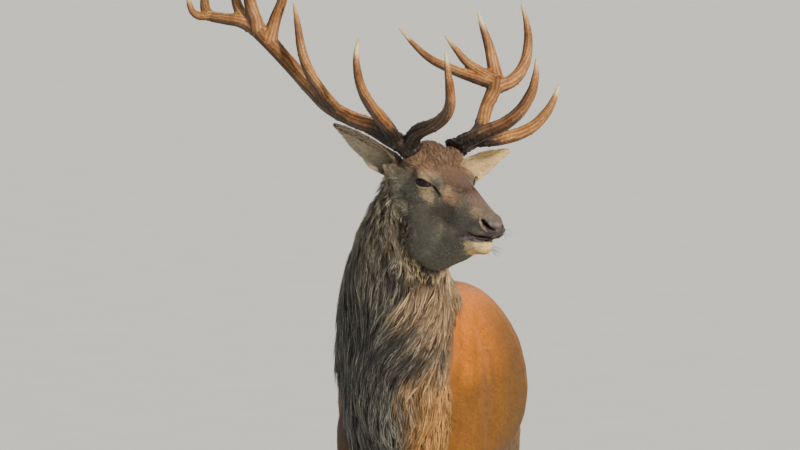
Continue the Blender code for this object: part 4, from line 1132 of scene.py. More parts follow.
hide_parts(*BODY_NODES, "neck", "head", "ear_left", "ear_right")


# %% [markdown]
# A deer's eye is a large dark ball. Its iris is dark brown, its pupil a level slot, and a clear wet layer
# gives one sharp highlight. The ball is a sphere that is drawn out a little at the front, as the real
# cornea is. The pattern is made from the distance to the middle of the pupil.

# %% Eyes
IRIS_RADIUS, PUPIL_HALF_LENGTH, PUPIL_HALF_HEIGHT = 0.0125, 0.0085, 0.0052


def eye(side):
    centre = EYE_CENTRE * (1, side, 1)
    out = EYE_OUT * (1, side, 1)
    along = EYE_ALONG * (1, side, 1)
    above = EYE_UP * (1, side, 1)
    bpy.ops.object.select_all(action="DESELECT")
    bpy.ops.mesh.primitive_uv_sphere_add(segments=64, ring_count=40, radius=EYE_RADIUS)
    ball = bpy.context.object
    ball.name = "eyeball_left" if side > 0 else "eyeball_right"
    axes = Matrix((Vector(along), Vector(above), Vector(out))).transposed()
    points = positions(ball)
    cornea = rise(points[:, 2] / EYE_RADIUS, 0.72, 0.95)
    points = points * (1 + 0.05 * cornea)[:, None]
    in_world = TURN @ np.array(axes)
    move_points(ball, points @ in_world.T + from_head(centre[None])[0])
    if np.linalg.det(in_world) < 0:
        choose_all(ball)
        bpy.ops.mesh.flip_normals()
        bpy.ops.object.mode_set(mode="OBJECT")
    ball.data.shade_smooth()
    finish, tree, shader = new_material("eye_" + ("left" if side > 0 else "right"))
    unmirrored = in_world if np.linalg.det(in_world) > 0 else in_world @ np.diag((-1, 1, 1))
    turn = Matrix(unmirrored).to_euler()
    mapping = node(tree, "ShaderNodeMapping", vector_type="TEXTURE")
    mapping.inputs["Location"].default_value = Vector(from_head(centre[None])[0])
    mapping.inputs["Rotation"].default_value = turn
    tree.links.new(object_points(tree), mapping.inputs["Vector"])
    flat = node(tree, "ShaderNodeVectorMath", operation="MULTIPLY")
    flat.inputs[1].default_value = (1, 1, 0)
    tree.links.new(mapping.outputs[0], flat.inputs[0])
    slot_shape = node(tree, "ShaderNodeVectorMath", operation="MULTIPLY")
    slot_shape.inputs[1].default_value = (1 / PUPIL_HALF_LENGTH, 1 / PUPIL_HALF_HEIGHT, 0)
    tree.links.new(mapping.outputs[0], slot_shape.inputs[0])
    from_pupil = node(tree, "ShaderNodeVectorMath", operation="LENGTH")
    tree.links.new(slot_shape.outputs[0], from_pupil.inputs[0])
    from_middle = node(tree, "ShaderNodeVectorMath", operation="LENGTH")
    tree.links.new(flat.outputs[0], from_middle.inputs[0])
    fibres = noise(tree, mapping.outputs[0], 900)
    iris = mixed(tree, spread(tree, fibres, 0.3, 0.7), (0.006, 0.003, 0.002), (0.022, 0.010, 0.005))
    past_iris = spread(tree, from_middle.outputs["Value"], IRIS_RADIUS, IRIS_RADIUS * 1.1)
    white = mixed(tree, past_iris, iris, (0.05, 0.035, 0.03))
    pupil = spread(tree, from_pupil.outputs["Value"], 0.9, 1.15)
    tree.links.new(mixed(tree, pupil, (0.003, 0.003, 0.004), white), shader.inputs["Base Color"])
    tree.links.new(spread(tree, fibres, 0, 1, 0.05, 0.09), shader.inputs["Roughness"])
    shader.inputs["Specular IOR Level"].default_value = 0.16
    shader.inputs["Coat Weight"].default_value = 0.2
    shader.inputs["Coat Roughness"].default_value = 0.02
    ball.data.materials.append(finish)
    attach(ball, "root")
    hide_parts("eye_left" if side > 0 else "eye_right")
    return ball


for side in (1, -1):
    print(eye(side).name, "is in its socket")


# %% [markdown]
# An antler is dead bone. It grows in one season under velvet, whose blood vessels leave long grooves and a
# rough, pearled base. The stag then rubs the tips smooth and pale, while bark juice stains the rest brown.
# Each tine is a bevelled curve that tapers to its point. A remesh grows the tines together, and the grooves
# and pearls are then cut into the real surface, because they show in its outline.

# %% Antler shapes
BURR_SEAT = (-0.063, 0.070, 0.077)
LEFT_ANTLER = {  # each tine's places (forward, outwards, up from between the eyes), with its radius there
    "beam": [
        ((-0.063, 0.070, 0.077), 0.0250), ((-0.075, 0.117, 0.089), 0.0235), ((-0.100, 0.167, 0.108), 0.0215),
        ((-0.135, 0.202, 0.133), 0.0180), ((-0.165, 0.236, 0.167), 0.0175), ((-0.190, 0.270, 0.197), 0.0190),
        ((-0.205, 0.289, 0.222), 0.0215),
    ],
    "brow_snag": [
        ((0.090, 0.156, 0.205), 0.0100), ((0.098, 0.173, 0.224), 0.0070), ((0.100, 0.182, 0.240), 0.0030),
    ],
    "brow_tine": [
        ((-0.050, 0.072, 0.090), 0.0215), ((0.000, 0.106, 0.124), 0.0190), ((0.060, 0.140, 0.164), 0.0170),
        ((0.103, 0.161, 0.228), 0.0145), ((0.116, 0.166, 0.280), 0.0100), ((0.112, 0.168, 0.328), 0.0032),
    ],
    "bez_tine": [
        ((-0.065, 0.122, 0.094), 0.0190), ((-0.020, 0.180, 0.105), 0.0180), ((0.015, 0.236, 0.132), 0.0155),
        ((0.030, 0.272, 0.171), 0.0130), ((0.030, 0.296, 0.208), 0.0090), ((0.020, 0.318, 0.247), 0.0032),
    ],
    "trez_tine": [
        ((-0.196, 0.283, 0.205), 0.0190), ((-0.188, 0.331, 0.226), 0.0170), ((-0.185, 0.358, 0.262), 0.0150),
        ((-0.197, 0.376, 0.306), 0.0130), ((-0.216, 0.384, 0.356), 0.0095), ((-0.236, 0.375, 0.414), 0.0032),
    ],
    "crown_tine_1": [
        ((-0.203, 0.280, 0.214), 0.0175), ((-0.250, 0.235, 0.228), 0.0145), ((-0.295, 0.204, 0.242), 0.0130),
        ((-0.340, 0.172, 0.262), 0.0105), ((-0.376, 0.147, 0.292), 0.0075), ((-0.410, 0.122, 0.330), 0.0030),
    ],
    "crown_tine_2": [
        ((-0.212, 0.277, 0.228), 0.0155), ((-0.258, 0.234, 0.260), 0.0120), ((-0.285, 0.213, 0.292), 0.0085),
        ((-0.310, 0.192, 0.327), 0.0030),
    ],
    "crown_tine_3": [
        ((-0.206, 0.290, 0.222), 0.0200), ((-0.225, 0.290, 0.262), 0.0165), ((-0.240, 0.284, 0.305), 0.0135),
        ((-0.250, 0.269, 0.350), 0.0095), ((-0.255, 0.252, 0.393), 0.0032),
    ],
}
RIGHT_ANTLER = {
    "beam": [
        ((-0.063, 0.072, 0.077), 0.0250), ((-0.080, 0.127, 0.106), 0.0235), ((-0.095, 0.179, 0.134), 0.0215),
        ((-0.115, 0.227, 0.152), 0.0200), ((-0.146, 0.271, 0.178), 0.0200), ((-0.182, 0.302, 0.216), 0.0190),
        ((-0.216, 0.330, 0.257), 0.0190), ((-0.250, 0.359, 0.298), 0.0195), ((-0.282, 0.382, 0.333), 0.0215),
        ((-0.306, 0.398, 0.356), 0.0225),
    ],
    "brow_tine": [
        ((-0.055, 0.084, 0.092), 0.0215), ((-0.020, 0.085, 0.128), 0.0195), ((0.035, 0.080, 0.153), 0.0175),
        ((0.080, 0.084, 0.178), 0.0160), ((0.116, 0.094, 0.212), 0.0145), ((0.131, 0.108, 0.258), 0.0125),
        ((0.130, 0.118, 0.304), 0.0090), ((0.118, 0.120, 0.350), 0.0032),
    ],
    "bez_tine": [
        ((-0.072, 0.119, 0.104), 0.0200), ((-0.040, 0.179, 0.154), 0.0175), ((-0.020, 0.235, 0.197), 0.0150),
        ((-0.005, 0.276, 0.240), 0.0130), ((0.000, 0.297, 0.284), 0.0110), ((-0.005, 0.301, 0.327), 0.0080),
        ((-0.015, 0.291, 0.367), 0.0034),
    ],
    "trez_tine": [
        ((-0.135, 0.256, 0.168), 0.0180), ((-0.142, 0.298, 0.212), 0.0160), ((-0.145, 0.336, 0.260), 0.0145),
        ((-0.160, 0.355, 0.315), 0.0125), ((-0.186, 0.355, 0.376), 0.0090), ((-0.214, 0.353, 0.436), 0.0034),
    ],
    "crown_spur": [
        ((-0.394, 0.474, 0.374), 0.0120), ((-0.414, 0.506, 0.374), 0.0100), ((-0.430, 0.518, 0.402), 0.0075),
        ((-0.437, 0.515, 0.436), 0.0030),
    ],
    "crown_tine_1": [
        ((-0.300, 0.394, 0.350), 0.0190), ((-0.335, 0.427, 0.368), 0.0170), ((-0.368, 0.453, 0.370), 0.0150),
        ((-0.402, 0.478, 0.378), 0.0140), ((-0.426, 0.475, 0.410), 0.0115), ((-0.440, 0.464, 0.450), 0.0085),
        ((-0.450, 0.454, 0.494), 0.0032),
    ],
    "crown_tine_2": [
        ((-0.320, 0.411, 0.362), 0.0165), ((-0.350, 0.419, 0.392), 0.0145), ((-0.378, 0.416, 0.424), 0.0120),
        ((-0.400, 0.411, 0.468), 0.0085), ((-0.410, 0.404, 0.520), 0.0032),
    ],
    "crown_tine_3": [
        ((-0.300, 0.396, 0.350), 0.0215), ((-0.314, 0.412, 0.412), 0.0165), ((-0.325, 0.417, 0.462), 0.0135),
        ((-0.331, 0.412, 0.516), 0.0095), ((-0.331, 0.398, 0.568), 0.0034),
    ],
    "crown_tine_4": [
        ((-0.272, 0.376, 0.326), 0.0190), ((-0.270, 0.366, 0.378), 0.0155), ((-0.265, 0.351, 0.428), 0.0125),
        ((-0.260, 0.340, 0.476), 0.0085), ((-0.257, 0.336, 0.522), 0.0032),
    ],
}


def tine(places, side):
    """A tapering tube through the places, and samples of its centre line."""
    data = bpy.data.curves.new("tine", "CURVE")
    data.dimensions = "3D"
    data.bevel_depth = 1.0
    data.bevel_resolution = 5
    data.resolution_u = 10
    data.use_fill_caps = True
    spline = data.splines.new("BEZIER")
    spline.bezier_points.add(len(places) - 1)
    for knot, ((forward, outwards, height), radius) in zip(spline.bezier_points, places):
        knot.co = (forward, side * outwards, height)
        knot.radius = radius
        knot.handle_left_type = knot.handle_right_type = "AUTO"
    curve = placed("tine", data)
    bpy.context.view_layer.update()
    samples = []
    knots = list(spline.bezier_points)
    for a, b in zip(knots, knots[1:]):
        stretch = interpolate_bezier(a.co, a.handle_right, b.handle_left, b.co, 14)
        for i, point in enumerate(stretch[:-1]):
            samples.append((*point, a.radius + (b.radius - a.radius) * i / 13))
    samples.append((*knots[-1].co, knots[-1].radius))
    choose([curve])
    bpy.ops.object.convert(target="MESH")
    tube = bpy.context.object
    choose_all(tube)
    bpy.ops.mesh.remove_doubles(threshold=0.00005)
    bpy.ops.mesh.normals_make_consistent(inside=False)
    bpy.ops.object.mode_set(mode="OBJECT")
    return tube, np.array(samples)


# %% Antler surface
ANTLER_VOXEL = 0.0026
BURR_RADIUS, BURR_HEIGHT = 0.0315, 0.013
GROOVES_ROUND = 11
PEARLS, BURR_PEARLS = 420, 26
BARK_DARK = (0.030, 0.023, 0.019)
BARK_BROWN = (0.140, 0.092, 0.066)
BARK_TAN = (0.66, 0.315, 0.105)
IVORY = (1.0, 0.80, 0.44)


def centre_frames(lines):
    """Every centre-line sample's place, radius, direction, share of the way out, and distance to the tip."""
    rows = []
    for samples, root_share, beyond in lines:
        direction = unit(np.gradient(samples[:, :3], axis=0))
        length = np.concatenate([[0], np.cumsum(np.linalg.norm(np.diff(samples[:, :3], axis=0), axis=1))])
        share = root_share + (1 - root_share) * length / length[-1]
        rows.append(np.column_stack([samples, direction, share, length[-1] - length + beyond]))
    return np.vstack(rows)


def antler(which, tines, side):
    tubes, lines = [], []
    for name, places in tines.items():
        tube, samples = tine(places, side)
        tubes.append(tube)
        root_share = min(0.6, np.linalg.norm(np.array(places[0][0]) - BURR_SEAT) / 0.75)
        lines.append((samples, root_share, 1.0 if name == "beam" else 0.0))
    seat = Vector((BURR_SEAT[0], side * BURR_SEAT[1], BURR_SEAT[2]))
    first, second = Vector(tines["beam"][0][0]), Vector(tines["beam"][1][0])
    lift = ((second - first) * Vector((1, side, 1))).normalized() + Vector((0, 0, 0.8))
    up_axis = lift.normalized()
    bpy.ops.object.select_all(action="DESELECT")
    bpy.ops.mesh.primitive_uv_sphere_add(segments=48, ring_count=24, radius=1)
    burr = bpy.context.object
    burr_axes = Matrix.Translation(seat) @ up_axis.to_track_quat("Z", "Y").to_matrix().to_4x4()
    burr.data.transform(burr_axes @ Matrix.Diagonal((BURR_RADIUS, BURR_RADIUS, BURR_HEIGHT, 1)))
    choose([burr] + tubes)
    bpy.ops.object.join()
    whole = bpy.context.object
    whole.name = "antler_" + which
    apply_modifier(whole, "REMESH", mode="VOXEL", voxel_size=ANTLER_VOXEL)
    apply_modifier(whole, "SMOOTH", factor=0.5, iterations=7)

    points, normals = positions(whole), directions(whole)
    centres = centre_frames(lines)
    tree = KDTree(len(centres))
    for i, row in enumerate(centres):
        tree.insert(row[:3], i)
    tree.balance()
    nearest = np.array([tree.find(p)[1] for p in points.tolist()])
    centre, radius, direction = centres[nearest, :3], centres[nearest, 3], centres[nearest, 4:7]
    share, to_tip = centres[nearest, 7], centres[nearest, 8]
    spoke = points - centre
    spoke = unit(spoke - direction * np.sum(spoke * direction, axis=1, keepdims=True))
    across = unit(np.cross(direction, (0.3, -0.2, 0.93)))
    angle = np.arctan2(np.sum(spoke * np.cross(direction, across), axis=1), np.sum(spoke * across, axis=1))
    from_seat = np.linalg.norm(points - np.array(seat), axis=1)
    rough = 1 - rise(share, 0.30, 0.85)
    wander = 1.1 * wobble(points, 0.12) + 0.25 * wobble(points, 0.035)
    ribs = (0.6 * np.cos(GROOVES_ROUND * angle + 3 * wander)
            + 0.4 * np.cos((2 * GROOVES_ROUND + 1) * angle - 4 * wander))
    relief = 0.00075 * np.minimum(ribs, 0.45) * (0.30 + 0.70 * rough)
    relief = relief * rise(to_tip, 0.02, 0.10) * np.minimum(radius / 0.016, 1.1)

    weight = np.exp(-share * 4.2)
    pearls = points[chance.choice(len(points), PEARLS, replace=False, p=weight / weight.sum())]
    ring = np.arange(BURR_PEARLS) * 2 * pi / BURR_PEARLS
    rim = np.column_stack([np.cos(ring), np.sin(ring), 0.10 * np.sin(5 * ring)]) * (BURR_RADIUS + 0.0006)
    rim = rim @ np.array(burr_axes.to_3x3()).T + np.array(seat)
    places = np.vstack([pearls, rim])
    sizes = np.concatenate([chance.uniform(0.0022, 0.0042, PEARLS),
                            chance.uniform(0.0040, 0.0058, BURR_PEARLS)])
    beads = KDTree(len(places))
    for i, p in enumerate(places.tolist()):
        beads.insert(p, i)
    beads.balance()
    found = [beads.find(p) for p in points.tolist()]
    bead_size = sizes[np.array([hit[1] for hit in found])]
    bead = np.sqrt(np.clip(1 - (np.array([hit[2] for hit in found]) / bead_size) ** 2, 0, 1))
    moved = points + normals * (relief + 0.42 * bead * bead_size)[:, None]
    moved -= normals * (0.0006 * (1 - rise(from_seat, 0.04, 0.08)) * (1 - bead))[:, None]
    move_points(whole, from_head(moved))

    stain = np.clip(0.5 + 0.5 * ribs, 0, 1)
    along = np.clip(share + 0.10 * wander, 0, 1)[:, None]
    # Faces turned up and forwards are painted lighter and tanner: painted sunlight, on top of the tan that
    # rubbing gives the tines.
    sunlit_and_rubbed = rise(0.80 * normals[:, 0] + 0.65 * normals[:, 2] + 0.25 * wander, -0.15, 0.85)[:, None]
    brown_share = rise(along + 0.10 * sunlit_and_rubbed, 0.10, 0.42)
    colour = np.array(BARK_DARK) + (np.array(BARK_BROWN) - np.array(BARK_DARK)) * brown_share
    tan_share = rise(along + 0.30 * sunlit_and_rubbed, 0.38, 0.80)
    colour = colour + (np.array(BARK_TAN) - colour) * tan_share * (0.06 + 0.90 * sunlit_and_rubbed)
    lit_beads = 1 + 0.5 * bead * (1 - rise(share, 0.4, 0.8))
    colour = colour * (0.36 + 0.64 * rise(stain, 0.10, 0.80))[:, None] * lit_beads[:, None]
    in_crown = rise(share + 0.08 * wander, 0.60, 0.85)
    colour = colour * (1 - 0.45 * in_crown * rise(to_tip, 0.03, 0.10))[:, None]
    polish = 1 - rise(to_tip + 0.010 * wander - 0.010 * sunlit_and_rubbed[:, 0], 0.000, 0.044)
    colour = colour + (np.array(IVORY) - colour) * polish[:, None]
    set_colours(whole.data, np.column_stack([np.clip(colour, 0, 1), polish]))
    whole.data.materials.clear()
    whole.data.materials.append(antler_finish)
    whole.data.shade_smooth()
    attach(whole, "root")
    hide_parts(*(f"antler_{which}_{name}" for name in tines))
    return whole


antler_finish, tree, shader = new_material("antler_bone")
attribute = node(tree, "ShaderNodeAttribute", attribute_name="coat")
grain = noise(tree, object_points(tree), 190, 5.0, 0.65)
pores = noise(tree, object_points(tree), 900, 3.0, 0.6)
blotch = noise(tree, object_points(tree), 28, 4.0, 0.6)
grain_tone = mixed(tree, spread(tree, grain, 0.3, 0.7), (0.62, 0.58, 0.55), (1.0, 1.0, 1.0))
grained = mixed(tree, 1.0, attribute.outputs["Color"], grain_tone, "MULTIPLY")
blotched = mixed(tree, 1.0, grained, (0.62, 0.50, 0.42), "MULTIPLY")
stained = mixed(tree, spread(tree, blotch, 0.42, 0.72), grained, blotched)
tree.links.new(stained, shader.inputs["Base Color"])
tree.links.new(spread(tree, attribute.outputs["Alpha"], 0, 1, 0.46, 0.26), shader.inputs["Roughness"])
shader.inputs["Specular IOR Level"].default_value = 0.25
bump(tree, shader, pores, 0.0005, 0.6)
for which, tines, side in (("left", LEFT_ANTLER, 1), ("right", RIGHT_ANTLER, -1)):
    made = antler(which, tines, side)
    print(made.name, faces_of(made), "triangles")


# %% [markdown]
# A deer stands on two claws a foot, each a horn shoe round the last toe bone. Horn grows down from the
# coronet in fine rings, and wears at the rim. The frame's claws have the right shape, so their copies are
# remeshed finer, given those rings, and kept flat on the floor.

# %% Hooves and dewclaws
HOOF_VOXEL = 0.0024
hoof_finish, tree, shader = new_material("hoof_horn")
rings = node(tree, "ShaderNodeTexWave", bands_direction="Z", Scale=90.0, Distortion=1.6, Detail=2.0)
rings.inputs["Detail Scale"].default_value = 2.0
tree.links.new(object_points(tree), rings.inputs["Vector"])
fibre = noise(tree, object_points(tree), 260)
tone = mixed(tree, spread(tree, fibre, 0.3, 0.7), (0.018, 0.015, 0.013), (0.070, 0.056, 0.044))
ringed = mixed(tree, spread(tree, rings.outputs["Fac"], 0.4, 1.0, 0, 0.3), tone, (0.11, 0.09, 0.07))
tree.links.new(ringed, shader.inputs["Base Color"])
tree.links.new(spread(tree, fibre, 0, 1, 0.32, 0.55), shader.inputs["Roughness"])
bump(tree, shader, rings.outputs["Fac"], 0.0006, 0.7)
horn_nodes = [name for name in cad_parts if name.startswith(("hoof_", "dewclaw_"))]
for name in sorted(horn_nodes):
    horn = copy_of(name)
    horn.name = name + "_horn"
    apply_modifier(horn, "REMESH", mode="VOXEL", voxel_size=HOOF_VOXEL)
    apply_modifier(horn, "SMOOTH", factor=0.5, iterations=3)
    points = positions(horn)
    ridges = 0.00035 * np.sin(points[:, 2] * 2 * pi / 0.0065 + 1.5 * wobble(points, 0.05))
    points = points + directions(horn) * ridges[:, None]
    low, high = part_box(name)
    points[:, 2] = np.maximum(points[:, 2], low.z)
    if name.startswith("hoof_"):
        points[:, 2] = np.where(points[:, 2] < low.z + 0.003, low.z, points[:, 2])
    move_points(horn, points)
    horn.data.materials.clear()
    horn.data.materials.append(hoof_finish)
    horn.data.shade_smooth()
    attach(horn, "root")
    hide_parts(name)
print("horns:", len(horn_nodes))


# %% [markdown]
# Now the coat. Real hair is far too fine to model one by one, but hair seldom hangs as single hairs: it
# sticks together in locks and tufts. So each lock here is a thin closed spike with three sides, a few
# segments long. Locks grow in clumps, and each clump follows one guide line that runs along the lie, just
# over the skin. The neighbours of a guide lean towards its tip, as wet or greasy hair does.

# %% Where hairs can root
skin.data.calc_loop_triangles()
corner_count = len(skin.data.loop_triangles)
TRIANGLES = np.empty(corner_count * 3, np.int32)
skin.data.loop_triangles.foreach_get("vertices", TRIANGLES)
TRIANGLES = TRIANGLES.reshape(-1, 3)
triangle_loops = np.empty(corner_count * 3, np.int32)
skin.data.loop_triangles.foreach_get("loops", triangle_loops)
unwrap = np.empty(len(skin.data.loops) * 2, np.float32)
skin.data.uv_layers["OFBake"].data.foreach_get("uv", unwrap)
TRIANGLE_UVS = unwrap.reshape(-1, 2)[triangle_loops].reshape(-1, 3, 2).astype(float)
SKIN_POINTS, SKIN_FACING = positions(skin), directions(skin)
CORNERS = SKIN_POINTS[TRIANGLES]
AREAS = np.linalg.norm(np.cross(CORNERS[:, 1] - CORNERS[:, 0], CORNERS[:, 2] - CORNERS[:, 0]), axis=1) / 2
CENTRES = CORNERS.mean(axis=1)
IS_EAR = TRIANGLES[:, 0] >= SKULL_POINTS
SHARES = regions(CENTRES)
BARE = bare[TRIANGLES].max(axis=1)
FLAT_FACING = unit(np.cross(CORNERS[:, 1] - CORNERS[:, 0], CORNERS[:, 2] - CORNERS[:, 0]))
NOT_UNDER = 1 - 0.85 * rise(-FLAT_FACING[:, 2], 0.35, 0.65)  # hair from above hangs over what faces down
SKIN_TREE = BVHTree.FromPolygons(SKIN_POINTS.tolist(), TRIANGLES.tolist(), all_triangles=True)
print("skin area", round(AREAS.sum(), 2), "square metres")


def sow(count, density):
    """Random root places on the skin, denser where density, one value a triangle, is higher."""
    weight = np.cumsum(AREAS * density)
    chosen = np.searchsorted(weight, chance.random(count) * weight[-1])
    first, second = chance.random(count), chance.random(count)
    over = first + second > 1
    first, second = np.where(over, 1 - first, first), np.where(over, 1 - second, second)
    shares = np.column_stack([1 - first - second, first, second])
    return (CORNERS[chosen] * shares[:, :, None]).sum(axis=1)


def on_skin(points):
    """The nearest places on the skin, the way it faces there, and their places on the unwrap."""
    hits = [SKIN_TREE.find_nearest(p) for p in points.tolist()]
    spots = np.array([hit[0] for hit in hits])
    index = np.array([hit[2] for hit in hits])
    a, b, c = CORNERS[index, 0], CORNERS[index, 1], CORNERS[index, 2]
    whole = np.cross(b - a, c - a)
    size = np.maximum(np.sum(whole * whole, axis=1), 1e-20)
    u = np.sum(np.cross(c - b, spots - b) * whole, axis=1) / size
    v = np.sum(np.cross(a - c, spots - c) * whole, axis=1) / size
    shares = np.column_stack([u, v, 1 - u - v])
    facing = unit((SKIN_FACING[TRIANGLES[index]] * shares[:, :, None]).sum(axis=1))
    uvs = (TRIANGLE_UVS[index] * shares[:, :, None]).sum(axis=1)
    return spots, facing, uvs


# %% Guides along the lie
def guides(roots, lengths, points, height, scatter, flow=lie, rising=0.4, sunk=0.0015):
    """Lines over the skin along the lie. They rise to height, and sooner where rising is low."""
    spots, facing, _ = on_skin(roots)
    turn = chance.normal(0, scatter, len(roots))[:, None]
    path = [spots - facing * sunk]
    ups = [facing]
    for step in range(1, points):
        along = flow(spots)
        along = unit(along - facing * np.sum(along * facing, axis=1, keepdims=True))
        along = unit(along + np.cross(facing, along) * turn)
        spots, facing, _ = on_skin(spots + along * (lengths / (points - 1))[:, None])
        path.append(spots + facing * (height * (step / (points - 1)) ** rising)[:, None])
        ups.append(facing)
    return np.stack(path, axis=1), np.stack(ups, axis=1)


def clump(lines, ups, each, spread_out, gather, wave, shorten=0.35):
    """Grows several hairs round every guide. gather is how much they lean to its tip."""
    count, points = lines.shape[:2]
    lines, ups = np.repeat(lines, each, axis=0), np.repeat(ups, each, axis=0)
    along = unit(np.gradient(lines, axis=1))
    across = unit(np.cross(along, ups))
    angle, reach = chance.random(count * each) * 2 * pi, np.sqrt(chance.random(count * each))
    spread_out = np.repeat(spread_out, each) if np.ndim(spread_out) else spread_out
    aside, forth = reach * np.cos(angle) * spread_out, reach * np.sin(angle) * spread_out
    share = np.arange(points) / (points - 1)
    keep = 1 - gather * share ** 0.8
    apart = across[:, :1] * aside[:, None, None] + along[:, :1] * forth[:, None, None]
    offset = apart * keep[None, :, None]
    length = 1 - shorten * chance.random(count * each)
    at = length[:, None] * np.arange(points)[None]
    lower = np.minimum(at.astype(int), points - 2)
    part = (at - lower)[:, :, None]
    rows = np.arange(len(lines))[:, None]
    hairs = lines[rows, lower] * (1 - part) + lines[rows, lower + 1] * part
    phase = chance.random(count * each)[:, None] * 2 * pi
    beat = (1.0 + chance.random(count * each)[:, None]) * 2 * pi
    swing = wave * np.sin(phase + beat * share[None]) * share[None]
    lift = 0.35 * wave * np.abs(np.cos(phase + beat * share[None])) * share[None]
    return hairs + offset + across * swing[:, :, None] + ups * lift[:, :, None], ups


# %% Hairs to mesh
PATCH = 0.003  # each hair's own patch of the unwrap


def hair_colours(roots, facing, stray):
    """Colours at the roots. Furry roots borrow those a stray distance away, to feather the edges."""
    base, tips, _ = painted(roots, facing)
    far_base, far_tips, far_bare = painted(roots + stray, facing)
    same_region = np.abs(regions(roots + stray)["mane"] - regions(roots)["mane"]) < 0.05
    borrowed = ((far_bare < 0.1) & same_region)[:, None]
    return np.where(borrowed, far_base, base), np.where(borrowed, far_tips, tips)


def hair_mesh(name, paths, ups, widths, finish, flat=0.30, root_shade=0.52, pale=1.0, tone=1.0,
              stray=0.0, flat_lit=False):
    """One closed three-sided spike a hair, painted from root to tip. pale is how much its end lightens."""
    count, rings = paths.shape[:2]
    along = unit(np.gradient(paths, axis=1))
    across = unit(np.cross(along, ups))
    above = np.cross(across, along)
    share = np.arange(rings) / (rings - 1)
    profile = (0.55 + 0.9 * share) * (1 - share ** 2.2)
    half = (0.5 * widths[:, None] * np.maximum(profile, 0.02)[None])[:, :, None]
    ridge = paths + above * half * 2 * flat
    sections = np.stack([paths + across * half, ridge, paths - across * half], axis=2)
    points = np.concatenate([sections[:, :-1].reshape(count, -1, 3), paths[:, -1:]], axis=1)
    per_hair = 3 * (rings - 1) + 1

    _, _, root_uvs = on_skin(paths[:, 0])
    loops, totals, uv = [], [], []
    for ring in range(rings - 2):
        for side in range(3):
            nxt = (side + 1) % 3
            loops += [3 * ring + side, 3 * ring + 3 + side, 3 * ring + 3 + nxt, 3 * ring + nxt]
            near, far = ring / (rings - 1), (ring + 1) / (rings - 1)
            uv += [(near, side / 3), (far, side / 3), (far, (side + 1) / 3), (near, (side + 1) / 3)]
            totals.append(4)
    for side in range(3):
        loops += [3 * (rings - 2) + side, per_hair - 1, 3 * (rings - 2) + (side + 1) % 3]
        near = (rings - 2) / (rings - 1)
        uv += [(near, side / 3), (1.0, (side + 0.5) / 3), (near, (side + 1) / 3)]
        totals.append(3)
    loops += [0, 1, 2]
    uv += [(0.0, 0.0), (0.08, 0.5), (0.0, 1.0)]
    totals.append(3)
    loops, totals, uv = np.array(loops), np.array(totals), np.array(uv)
    all_loops = (np.arange(count)[:, None] * per_hair + loops[None]).ravel()
    all_totals = np.tile(totals, count)
    mesh = bpy.data.meshes.new(name)
    mesh.vertices.add(count * per_hair)
    mesh.vertices.foreach_set("co", points.astype(np.float32).ravel())
    mesh.loops.add(len(all_loops))
    mesh.loops.foreach_set("vertex_index", all_loops.astype(np.int32))
    mesh.polygons.add(len(all_totals))
    starts = np.concatenate([[0], np.cumsum(all_totals)[:-1]])
    mesh.polygons.foreach_set("loop_start", starts.astype(np.int32))
    mesh.polygons.foreach_set("loop_total", all_totals.astype(np.int32))
    mesh.update(calc_edges=True)
    layer = mesh.uv_layers.new(name="OFBake")
    patches = root_uvs[:, None, :] + (uv[None] - 0.5) * PATCH
    layer.data.foreach_set("uv", np.clip(patches, 0, 1).astype(np.float32).ravel())

    base, tips = hair_colours(paths[:, 0], ups[:, 0], stray)
    tone = np.broadcast_to(tone, count)[:, None]
    base, tips = base * tone, tips * tone
    ring_share = share[:-1]
    dark = root_shade + (1 - root_shade) * rise(ring_share, 0.0, 0.35)
    tips = base + (tips - base) * np.broadcast_to(pale, count)[:, None]
    toward_tip = rise(ring_share, 0.10, 0.75)[None, :, None]
    rows = (base[:, None] * (1 - toward_tip) + tips[:, None] * toward_tip) * dark[None, :, None]
    rows = np.concatenate([np.repeat(rows, 3, axis=1), tips[:, None]], axis=1)
    set_colours(mesh, np.column_stack([np.clip(rows, 0, 1).reshape(-1, 3), np.ones(count * per_hair)]))
    made = placed(name, mesh)
    mesh.materials.append(finish)
    if flat_lit:
        mesh.shade_flat()
    else:
        mesh.shade_smooth()
    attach(made, "root")
    print(name, count, "hairs,", count * (6 * (rings - 2) + 4), "triangles")
    return made


# %% [markdown]
# Hair shines a little along its length. A fairly rough surface with a touch of sheen gives that, and a fine
# noise varies its colour, since no two hairs are the same.

# %% The finish of the hair
def hair_finish(name, roughness, sheen, streak_scale):
    made, tree, shader = new_material(name)
    attribute = node(tree, "ShaderNodeAttribute", attribute_name="coat")
    streaks = noise(tree, object_points(tree), streak_scale, 3.0, 0.6)
    shade = mixed(tree, spread(tree, streaks, 0.3, 0.7), (0.72, 0.70, 0.68), (1.0, 1.0, 1.0))
    shaded = mixed(tree, 1.0, attribute.outputs["Color"], shade, "MULTIPLY")
    tree.links.new(shaded, shader.inputs["Base Color"])
    dullness = spread(tree, streaks, 0.25, 0.75, roughness - 0.1, roughness + 0.1)
    tree.links.new(dullness, shader.inputs["Roughness"])
    bump(tree, shader, streaks, 0.0004, 0.5)
    shader.inputs["Sheen Weight"].default_value = sheen
    shader.inputs["Sheen Roughness"].default_value = 0.4
    shader.inputs["Specular IOR Level"].default_value = 0.2
    return made


MANE_HAIR = hair_finish("mane_hair", 0.50, 0.05, 420)
BODY_HAIR = hair_finish("body_hair", 0.62, 0.0, 380)
FACE_HAIR = hair_finish("face_hair", 0.66, 0.05, 520)
LEG_HAIR = hair_finish("leg_hair", 0.66, 0.05, 420)


# %% [markdown]
# The mane comes first. Its locks are up to 19 cm long, longest at the throat and breast, and lie in layers:
# some close to the skin and some on top, out to the mane's full depth. They get shorter towards the cheeks
# and the shoulders, where they pass into the short coat.

